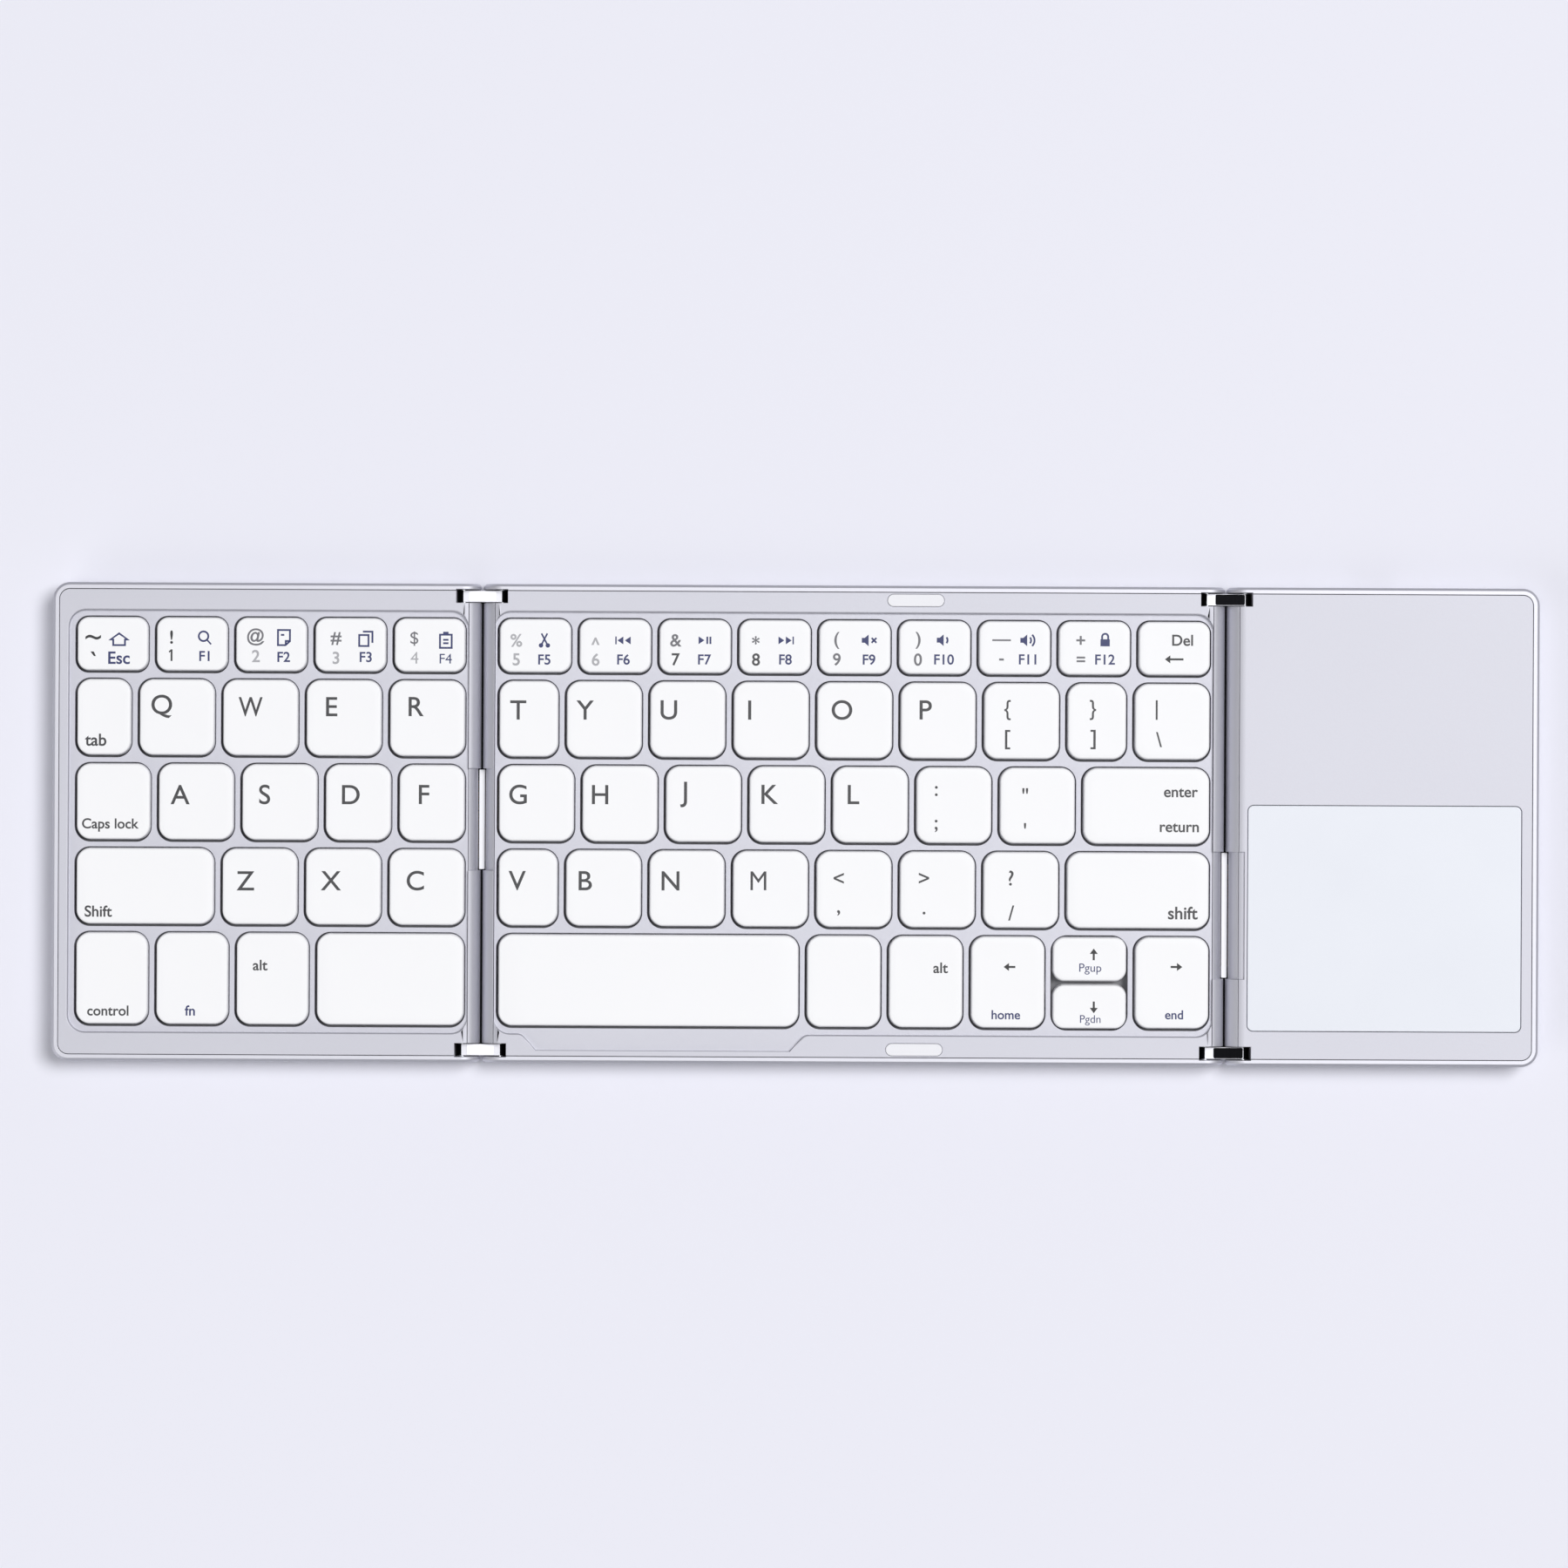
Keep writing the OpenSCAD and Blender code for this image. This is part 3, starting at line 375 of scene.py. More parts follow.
def anodised(name, tone, roughness):
    """Bead-blasted, anodised aluminium: even fine grain, with faint drifts in its tone."""
    material, wire = blank_material(name)
    grain = noise(wire, 3200.0, 4.0, 0.65)
    drift = noise(wire, 16.0)
    shader = feed(material, blend_of(drift * 0.6 + grain * 0.4, shade(tone, 0.93), tone),
                  roughness - 0.05 + 0.10 * grain, grain, 0.03 * MM, 0.25)
    shader.inputs["Metallic"].default_value = 1.0
    return material


SILVER = linear(213, 213, 221)
case_metal = anodised("case_metal", SILVER, 0.60)
deck_metal = anodised("deck_metal", SILVER, 0.68)
EDGE_BREAK = 0.08 * MM
RECESS_ROUND = 0.35 * MM
RECESS_LIMIT = 44.4 * MM   # the recesses reach less far than this to the front and rear


def recess_share(node):
    """The whole rounding for the upper edge of a deck's recess, and a little elsewhere."""
    low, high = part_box(node)
    top = high[2] - 0.02 * MM
    rim = 0.5 * MM

    def share(a, b):
        spot = (a + b) / 2
        inside = low[0] + rim < spot.x < high[0] - rim and abs(spot.y) < RECESS_LIMIT
        return 1.0 if inside and min(a.z, b.z) > top else EDGE_BREAK / RECESS_ROUND
    return share


for kind, metal in (("case", case_metal), ("deck", deck_metal)):
    for side, body in (("mid", "middle"), ("left", "left_panel"), ("right", "right_panel")):
        node = f"{side}_{kind}"
        if node in ("mid_deck", "left_deck"):
            shell = smooth_copy(node, node + "_shell", RECESS_ROUND, recess_share(node))
        else:
            shell = smooth_copy(node, node + "_shell", EDGE_BREAK)
        shell.data.materials.append(metal)
        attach(shell, body)
        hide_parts(node)
        kind + "_metal"


# ---- Hinges ---------------------------------------------------------------------------
# At each hinge two end links turn on steel pins, with a near-black beam between them that
# closes the gap from below; its dark colour is painted shade for the gap. A flat cable
# crosses the gap through a white guard on the beam. The left hinge's links are bright, with
# their round ends painted black as shade, and the right hinge's have black covers, which
# leave a bare strip of bright link on the left as a painted highlight.

LINK_REACH = 3.95 * MM     # how far a link's bright part goes to either side
LINK_DEPTH = 2.4 * MM
LINK_BREAK = 0.08 * MM
GUARD_ROUND = 0.15 * MM
COVER_MARGIN = 0.12 * MM   # between a cover's edge and its link's, front and rear
COVER_SINK = 0.01 * MM     # how far a cover reaches into its link
GUARD_FACE = 0.62 * MM     # from the hinge's middle to either face of the guard
SLIT_MOUTH = 1.24 * MM     # and to the mouth of the slit in either spine
BEND_STEPS = 14


def link_metal(name, hinge_x):
    """Satin plated link, whose round ends are painted black as shade."""
    material, wire = blank_material(name)
    grain = noise(wire, 2600.0, 3.0)
    x = parts_of(object_place(wire))[0]
    # Beyond LINK_REACH the round ends turn near black: painted shade where they curve down
    # into their slots
    ends = wire.math("ABSOLUTE", x - hinge_x) > LINK_REACH
    shader = feed(material, blend_of(ends, linear(206, 206, 212), linear(12, 12, 14)),
                  0.44 + 0.12 * grain, grain, 0.004 * MM)
    shader.inputs["Metallic"].default_value = 1.0
    return material


def skin(shape, rings):
    """Faces from each ring of points to the next, and one at either end."""
    for a, b in zip(rings, rings[1:]):
        for i in range(len(a)):
            j = (i + 1) % len(a)
            shape.faces.new((a[i], a[j], b[j], b[i]))
    shape.faces.new(rings[-1])
    shape.faces.new(list(reversed(rings[0])))


def object_of(shape, name, *materials):
    """Makes an object of a mesh that is finished."""
    mesh = bpy.data.meshes.new(name)
    shape.to_mesh(mesh)
    shape.free()
    for material in materials:
        mesh.materials.append(material)
    return add_object(name, mesh)


def cover_plate(name, x0, x1, y0, y1, z, material):
    """A thin plate with round corners and a broken edge, glued on a link."""
    corner, edge, thickness = 0.3 * MM, 0.03 * MM, 0.1 * MM
    steps = 4
    shape = bmesh.new()
    rings = []
    for inset, height in ((0.0, 0.0), (0.0, thickness - edge), (edge, thickness)):
        ring = []
        for quarter, (x, y) in enumerate(((x1, y1), (x0, y1), (x0, y0), (x1, y0))):
            cx = x - corner if x == x1 else x + corner
            cy = y - corner if y == y1 else y + corner
            for i in range(steps + 1):
                turn = math.pi / 2 * (quarter + i / steps)
                reach = corner - inset
                ring.append(shape.verts.new((cx + reach * math.cos(turn),
                                             cy + reach * math.sin(turn), z + height)))
        rings.append(ring)
    skin(shape, rings)
    return object_of(shape, name, material)


def flex_film():
    """Amber film with copper tracks side by side under it."""
    material, wire = blank_material("flex_film")
    y = parts_of(object_place(wire))[1]
    track = wire.math("FRACT", y * 1250.0) > 0.45   # a track every 0.8 mm
    feed(material, blend_of(track, linear(64, 38, 18), linear(92, 52, 30)),
         0.24 + 0.12 * noise(wire, 300.0), track, 0.02 * MM)
    return material


def flex_half(node, name, hinge_x, side, material):
    """Half of a flat cable, from the guard into one panel. It is straight, with its rings set
    close together between the guard's face and the mouth of the slit in the panel's spine."""
    low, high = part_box(node)
    bend = [GUARD_FACE + (SLIT_MOUTH - GUARD_FACE) * i / BEND_STEPS
            for i in range(BEND_STEPS + 1)]
    shape = bmesh.new()
    rings = []
    for reach in [0.0, *bend, high[0] - hinge_x]:
        rings.append([shape.verts.new((hinge_x + side * reach, y, z))
                      for y, z in ((low[1], low[2]), (high[1], low[2]),
                                   (high[1], high[2]), (low[1], high[2]))])
    skin(shape, rings)
    bmesh.ops.recalc_face_normals(shape, faces=shape.faces)
    strip = object_of(shape, name, material)
    return strip, [(hinge_x + side * reach, 0, low[2]) for reach in (SLIT_MOUTH, GUARD_FACE)]


def guard_plastic():
    """White moulded plastic, smooth and slightly glossy."""
    material, wire = blank_material("guard_plastic")
    texture = noise(wire, 1800.0)
    feed(material, blend_of(noise(wire, 60.0), linear(243, 243, 246), linear(247, 247, 250)),
         0.34 + 0.1 * texture, texture, 0.005 * MM)
    return material


# Near-black beam: painted shade for the shadow deep in the gap between the spines
beam_metal = anodised("beam_metal", linear(26, 26, 30), 0.5)
pin_steel = plated_metal("pin_steel", linear(176, 177, 181), linear(204, 205, 209), 0.3,
                         3000.0)
white_guard = guard_plastic()
amber_film = flex_film()
black_cover = plated_metal("black_cover", linear(9, 9, 11), linear(16, 16, 18), 0.34, 2600.0)
chrome_cover = plated_metal("chrome_cover", linear(222, 222, 227), linear(232, 232, 236), 0.5,
                            2600.0)
HINGES = [
    # side, slot of the links, reach of their covers to left and right, the covers' metal
    ("left", "bright_metal", (-2.85 * MM, 2.85 * MM), chrome_cover),
    # The right hinge's covers stop short on the left, and the strip of bright link left bare
    # there is a painted highlight
    ("right", "dark_metal", (-2.2 * MM, 3.85 * MM), black_cover),
]
for side, link_slot, reach, cover_metal in HINGES:
    body = side + "_hinge"
    low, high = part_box(side + "_end_links")
    hinge_x = (low[0] + high[0]) / 2
    parts = [
        # CAD node, the piece in its place, its edges, its material and slot
        ("_end_links", "_link_pair", LINK_BREAK, link_metal(side + "_link_metal", hinge_x),
         link_slot),
        ("_hinge_pins", "_pin_set", LINK_BREAK, pin_steel, "pin_steel"),
        ("_hinge_beam", "_beam", LINK_BREAK, beam_metal, "dark_metal"),
        ("_cable_guard", "_guard", GUARD_ROUND, white_guard, "guard_plastic"),
    ]
    for node, name, rounding, material, slot in parts:
        piece = smooth_copy(side + node, side + name, rounding)
        piece.data.materials.append(material)
        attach(piece, body)
        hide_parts(side + node)
    for end, y1 in (("rear", high[1]), ("front", low[1] + LINK_DEPTH)):
        plate = cover_plate(f"{side}_{end}_link_cover", hinge_x + reach[0], hinge_x + reach[1],
                            y1 - LINK_DEPTH + COVER_MARGIN, y1 - COVER_MARGIN,
                            high[2] - COVER_SINK, cover_metal)
        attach(plate, body)
    inward = 1 if side == "left" else -1
    for end, toward, panel in (("inner", inward, "middle"),
                               ("outer", -inward, side + "_panel")):
        strip, (start, stop) = flex_half(side + "_flex_cable", f"{side}_{end}_flex", hinge_x,
                                         toward, amber_film)
        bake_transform(strip)
        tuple(start)
        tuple(stop)
        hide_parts(side + "_flex_cable")


# ---- Touchpad -------------------------------------------------------------------------
# A sheet of pale etched glass, nearly flush in a window of the right deck, over its sensor
# board. Its edge is ground round.

PAD_EDGE = 0.2 * MM


def etched_glass():
    """Glass etched to a fine frost, a little smoother where fingers rub it."""
    material, wire = blank_material("etched_glass")
    frost = noise(wire, 4200.0)
    touch = noise(wire, 45.0, 3.0)
    shader = feed(material, blend_of(touch, linear(226, 229, 238), linear(230, 233, 241)),
                  0.26 + 0.1 * touch, frost, 0.003 * MM)
    shader.inputs["IOR"].default_value = 1.5
    return material


pad = smooth_copy("touchpad", "touchpad_glass", PAD_EDGE)
pad.data.materials.append(etched_glass())
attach(pad, "right_panel")
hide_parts("touchpad")


# ---- Bumpers and feet -----------------------------------------------------------------
# Two white rubber pills on the middle deck take the folded panels. Four grey rubber pads
# under each panel keep the keyboard from sliding. All are moulded with rounded edges.

PAD_ROUND = 0.22 * MM
white_rubber = rubber("white_rubber", linear(236, 236, 242), linear(243, 243, 248))
grey_rubber = rubber("grey_rubber", linear(84, 84, 88), linear(96, 96, 100))
# The feet of the outer panels keep the frame's own plain grey, which is lighter
plain_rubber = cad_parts["left_feet"].material_slots[0].material
PADS = [
    ("mid_bumpers", "middle", "white_rubber", white_rubber),
    ("mid_feet", "middle", "grey_rubber", grey_rubber),
    ("left_feet", "left_panel", "grey_rubber", plain_rubber),
    ("right_feet", "right_panel", "grey_rubber", plain_rubber),
]
for node, body, slot, material in PADS:
    pads = smooth_copy(node, node + "_pads", PAD_ROUND)
    pads.data.materials.append(material)
    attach(pads, body)
    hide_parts(node)


# ---- Keycaps --------------------------------------------------------------------------
# Injection-moulded caps in white ABS with a fine matte texture. Each one is a thin hollow
# cap with rounded corners and top edge, and stands in its own well over a rubber dome.

CAP_EDGE = 0.4 * MM           # radius of the top edge
CAP_DRAFT = 0.2 * MM          # how far the sides lean in
CAP_WALL = 0.9 * MM
CAP_ROOF = 0.8 * MM
CAP_LIP = 0.05 * MM           # bevel on the rim
CAP_DISH = 0.06 * MM          # how much lower the middle of the top is than its edge
KEY_CORNER = 3.0 * MM
SHORT_KEY_CORNER = 2.5 * MM   # for keys less deep than the next value
SHORT_KEY_DEPTH = 11.3 * MM
CAP_PLAY = 0.13 * MM          # how far each cap sits to the right and the rear in its well
HALF_KEY_PLAY = 0.05 * MM     # the same for keys less deep than the next value, of which
HALF_KEY_DEPTH = 9.5 * MM     # two share a well
POINTS_ROUND = 48
SOFT_ANGLE = math.radians(40)


def key_boxes(node):
    """The box of each keycap in a CAD node, from left to right."""
    shape = bmesh.new()
    shape.from_mesh(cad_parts[node].data)
    bmesh.ops.remove_doubles(shape, verts=shape.verts, dist=WELD)
    unseen, boxes = set(shape.verts), []
    while unseen:
        spots, fringe = [], [unseen.pop()]
        while fringe:
            vert = fringe.pop()
            spots.append(vert.co)
            for edge in vert.link_edges:
                other = edge.other_vert(vert)
                if other in unseen:
                    unseen.discard(other)
                    fringe.append(other)
        boxes.append((Vector([min(s[i] for s in spots) for i in range(3)]),
                      Vector([max(s[i] for s in spots) for i in range(3)])))
    shape.free()
    return sorted(boxes, key=lambda box: box[0].x)


def cap_profile(height):
    """The wall of a keycap as a row of points from the middle of its ceiling, down the
    inside, round the rim, up the outside, over the rounded edge and in to the middle of the
    top. A point is its distance in from the outline, its share of the outline's size and
    its height above the rim."""
    ceiling = height - CAP_ROOF
    points = [(CAP_WALL, 0.0, ceiling), (CAP_WALL, 1.0, ceiling), (CAP_WALL, 1.0, CAP_LIP),
              (CAP_WALL - CAP_LIP, 1.0, 0.0), (CAP_LIP, 1.0, 0.0), (0.0, 1.0, CAP_LIP)]
    steps = 6
    for i in range(steps + 1):
        turn = math.pi / 2 * i / steps
        points.append((CAP_DRAFT + CAP_EDGE * (1 - math.cos(turn)), 1.0,
                       height - CAP_EDGE * (1 - math.sin(turn))))
    for share in (0.85, 0.6, 0.3, 0.0):
        points.append((CAP_DRAFT + CAP_EDGE, share, height - CAP_DISH * (1 - share * share)))
    return points


def keycap_tree():
    """Sweeps the profile, which is the incoming mesh, round an outline with round corners."""
    tree = bpy.data.node_groups.new("keycap", "GeometryNodeTree")
    face = tree.interface
    face.new_socket("Profile", in_out="INPUT", socket_type="NodeSocketGeometry")
    for label in ("Width", "Depth", "Corner"):
        face.new_socket(label, in_out="INPUT", socket_type="NodeSocketFloat")
    face.new_socket("Points round", in_out="INPUT", socket_type="NodeSocketInt")
    face.new_socket("Material", in_out="INPUT", socket_type="NodeSocketMaterial")
    face.new_socket("Keycap", in_out="OUTPUT", socket_type="NodeSocketGeometry")
    given = tree.nodes.new("NodeGroupInput")

    def take(label):
        return Wire(tree, given.outputs[label])

    wire = take("Profile")
    count = wire.node("GeometryNodeAttributeDomainSize", {}, {"Geometry": wire}, "Point Count")
    around = take("Points round")
    sheet = wire.node("GeometryNodeMeshGrid", {},
                      {"Size X": 1.0, "Size Y": count - 1.0, "Vertices X": around + 1.0,
                       "Vertices Y": count}, "Mesh")
    here = wire.node("GeometryNodeInputPosition", {}, {})
    across, along, _ = parts_of(here)
    row = wire.math("ROUND", along + (count - 1.0) * 0.5)
    point = wire.node("GeometryNodeSampleIndex", {"data_type": "FLOAT_VECTOR"},
                      {"Geometry": wire, "Value": here, "Index": row})
    inset, share, height = parts_of(point)
    # Half a step of turn keeps every point off the axes, where the straight sides are
    turn = (across + 0.5 / around) * (2 * math.pi)
    radius = take("Corner") - inset

    def outline(size, wave):
        swing = wire.math(wave, turn)
        straight = size * 0.5 - take("Corner")
        return share * (wire.math("SIGN", swing) * straight + swing * radius)

    spot = wire.node("ShaderNodeCombineXYZ", {}, {"X": outline(take("Width"), "COSINE"),
                                                  "Y": outline(take("Depth"), "SINE"),
                                                  "Z": height})
    placed = wire.node("GeometryNodeSetPosition", {}, {"Geometry": sheet, "Position": spot})
    closed = wire.node("GeometryNodeMergeByDistance", {}, {"Geometry": placed,
                                                           "Distance": WELD})
    real = wire.node("GeometryNodeRealizeInstances", {}, {"Geometry": closed})
    done = wire.node("GeometryNodeSetMaterial", {}, {"Geometry": real,
                                                     "Material": take("Material")})
    out = tree.nodes.new("NodeGroupOutput")
    tree.links.new(done.socket, out.inputs["Keycap"])
    return tree


def set_inputs(modifier, values):
    """Sets a Geometry Nodes modifier's inputs, given by their labels."""
    for item in modifier.node_group.interface.items_tree:
        if item.in_out == "INPUT" and item.name in values:
            modifier[item.identifier] = values[item.name]


def key_plastic():
    """White ABS with a fine spark-eroded texture, a little smoother where fingers land."""
    material, wire = blank_material("key_plastic")
    texture = noise(wire, 5200.0)
    wear = noise(wire, 70.0)
    shader = feed(material, blend_of(wear, linear(244, 244, 247), linear(247, 247, 249)),
                  0.38 + 0.12 * wear + 0.06 * texture, texture, 0.02 * MM, 0.2)
    shader.inputs["IOR"].default_value = 1.5
    return material


white_plastic = key_plastic()
cap_nodes = keycap_tree()


def keycap(low, high):
    """One keycap's mesh, in its place."""
    size = high - low
    profile = bpy.data.meshes.new("cap_profile")
    points = cap_profile(size.z)
    profile.from_pydata(points, [(i, i + 1) for i in range(len(points) - 1)], [])
    host = add_object("cap_host", profile)
    sweep = host.modifiers.new("keycap", "NODES")
    sweep.node_group = cap_nodes
    set_inputs(sweep, {"Width": size.x, "Depth": size.y,
                       "Corner": SHORT_KEY_CORNER if size.y < SHORT_KEY_DEPTH else KEY_CORNER,
                       "Points round": POINTS_ROUND, "Material": white_plastic})
    mesh = freeze(host).data
    bpy.data.objects.remove(host)
    play = CAP_PLAY if size.y > HALF_KEY_DEPTH else HALF_KEY_PLAY
    mesh.transform(Matrix.Translation(((low.x + high.x) / 2 + play,
                                       (low.y + high.y) / 2 + play, low.z)))
    return mesh


for node in sorted(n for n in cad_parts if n.startswith("key")):
    shape = bmesh.new()
    for box in key_boxes(node):
        cap = keycap(*box)
        shape.from_mesh(cap)
        bpy.data.meshes.remove(cap)
    bmesh.ops.recalc_face_normals(shape, faces=shape.faces)
    caps = object_of(shape, node + "_caps", white_plastic)
    caps.data.shade_smooth()
    caps.data.set_sharp_from_angle(angle=SOFT_ANGLE)
    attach(caps, node)
    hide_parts(node)


# ---- Legends --------------------------------------------------------------------------
# The letters, digits, signs and pictograms are pad-printed on the caps: a film of ink a few
# hundredths of a millimetre thick, which follows the slight dish of each cap's top.

CAP_SHARE = 0.69       # height of a capital for a font size of one
BOLD = 0.017           # what the outlines of small words grow by, for a font size of one
LETTER_BOLD = 0.007    # and those of large letters
LETTER_HEIGHT = 3.0
NARROW = {"W": 0.82, "M": 0.9}
# The outlines of these would cross themselves if they grew
NOT_BOLD = ("M", "$", "4", "F4", "Pgup", "Pgdn")
INK_RISE = 0.015 * MM
INK_SINK = 0.03 * MM
INK_SLAB = 0.01 * MM   # half the thickness of a print before it is laid on its cap

# The pictograms' points are in mm, and so are these sizes
LINE = 0.38
FINE_LINE = 0.34
WEDGE = 0.8
HEAD_LENGTH = 1.1
HEAD_HALF = 0.82
STEM = 0.42
SHARPEST = 0.4         # a line's corners stick out by at most half its width over this


def arc(x, y, radius, start, end, count=16):
    """Points on an arc; angles in degrees."""
    turns = [math.radians(start + (end - start) * i / count) for i in range(count + 1)]
    return [(x + radius * math.cos(t), y + radius * math.sin(t)) for t in turns]


def ring(x, y, radius, count):
    """Points all round a circle."""
    return arc(x, y, radius, 0, 360, count)[:-1]


def band(points, closed=False, width=LINE):
    """The outline of a line of some width: one loop, or two where the line is closed."""
    count = len(points)
    sides = ([], [])
    for i, (x, y) in enumerate(points):
        before = points[i - 1] if closed or i else None
        after = points[(i + 1) % count] if closed or i < count - 1 else None
        steps = []
        for a, b in ((before, (x, y)), ((x, y), after)):
            if a and b:
                length = math.hypot(b[0] - a[0], b[1] - a[1])
                steps.append(((b[0] - a[0]) / length, (b[1] - a[1]) / length))
        dx, dy = (sum(s[k] for s in steps) for k in (0, 1))
        length = math.hypot(dx, dy)
        dx, dy = dx / length, dy / length
        reach = width / 2 / max(SHARPEST, dx * steps[0][0] + dy * steps[0][1])
        sides[0].append((x - dy * reach, y + dx * reach))
        sides[1].append((x + dy * reach, y - dx * reach))
    if closed:
        return [sides[0], sides[1]]
    return [sides[0] + sides[1][::-1]]


def block(x0, y0, x1, y1):
    """A solid rectangle."""
    return [[(x0, y0), (x1, y0), (x1, y1), (x0, y1)]]


def wedge(x, side):
    """A solid triangle whose point is to one side."""
    return [[(x - side * WEDGE / 2, WEDGE), (x - side * WEDGE / 2, -WEDGE),
             (x + side * WEDGE, 0.0)]]


SPEAKER = [[(-1.5, 0.5), (-0.9, 0.5), (-0.1, 1.2), (-0.1, -1.2), (-0.9, -0.5), (-1.5, -0.5)]]


def arrow(half, turn):
    """A thin arrow with a solid head, drawn to the left and then turned by quarters."""
    head = [[(-half, 0.0), (HEAD_LENGTH - half, HEAD_HALF), (HEAD_LENGTH - half, -HEAD_HALF)]]
    shapes = [head, band([(1.0 - half, 0.0), (half, 0.0)], width=STEM)]
    for _ in range(turn):
        shapes = [[[(-y, x) for x, y in loop] for loop in shape] for shape in shapes]
    return shapes


# Each pictogram is a list of shapes, and each shape its outline and its holes
PICTOGRAMS = {
    "one": [[[(-0.6, 0.72), (-0.12, 1.2), (0.2, 1.2), (0.2, -1.2), (-0.17, -1.2),
              (-0.17, 0.75), (-0.42, 0.5)]]],
    "home": [band([(-1.75, 0.0), (0, 1.25), (1.75, 0.0), (1.2, 0.0), (1.2, -1.15),
                   (-1.2, -1.15), (-1.2, 0.0)], True)],
    "search": [band(ring(-0.2, 0.3, 0.98, 24), True),
               band([(0.5, -0.42), (1.35, -1.35)], width=0.32)],
    "page": [band([(-1.2, 1.55), (1.25, 1.55), (1.25, -0.75), (0.35, -1.55), (-1.2, -1.55)],
                  True), band([(0.4, -1.4), (0.4, -0.7), (1.1, -0.7)]),
             band([(-0.6, 0.55), (0.1, 0.55)])],
    "copy": [band([(-1.35, 0.75), (0.55, 0.75), (0.55, -1.5), (-1.35, -1.5)], True),
             band([(-0.6, 1.45), (1.35, 1.45), (1.35, -0.85)])],
    "paste": [band([(-1.2, 1.15), (1.2, 1.15), (1.2, -1.55), (-1.2, -1.55)], True),
              block(-0.55, 1.28, 0.55, 1.75), band([(-0.55, 0.1), (0.55, 0.1)]),
              band([(-0.55, -0.6), (0.55, -0.6)])],
    "cut": [band([(-0.6, 1.4), (0.5, -0.7)], width=FINE_LINE),
            band([(0.6, 1.4), (-0.5, -0.7)], width=FINE_LINE),
            [ring(-0.7, -1.05, 0.46, 20)], [ring(0.7, -1.05, 0.46, 20)]],
    "back": [block(-1.7, -0.8, -1.42, 0.8), wedge(-0.45, -1), wedge(1.05, -1)],
    "play": [wedge(-0.85, 1), block(0.35, -0.75, 0.72, 0.75), block(0.98, -0.75, 1.35, 0.75)],
    "next": [wedge(-1.05, 1), wedge(0.45, 1), block(1.42, -0.8, 1.7, 0.8)],
    "mute": [SPEAKER, band([(0.5, 0.5), (1.5, -0.5)]), band([(0.5, -0.5), (1.5, 0.5)])],
    "quiet": [SPEAKER, band(arc(-0.2, 0, 0.9, -42, 42, 8))],
    "loud": [SPEAKER, band(arc(-0.2, 0, 0.9, -42, 42, 8)),
             band(arc(-0.2, 0, 1.6, -46, 46, 12))],
    "lock": [block(-0.95, -1.25, 0.95, 0.2),
             band([(-0.62, 0.2), *arc(0, 0.7, 0.62, 180, 0, 12), (0.62, 0.2)])],
    "erase": arrow(1.9, 0),
    "left": arrow(1.2, 0), "down": arrow(1.2, 1), "right": arrow(1.2, 2), "up": arrow(1.2, 3),
}

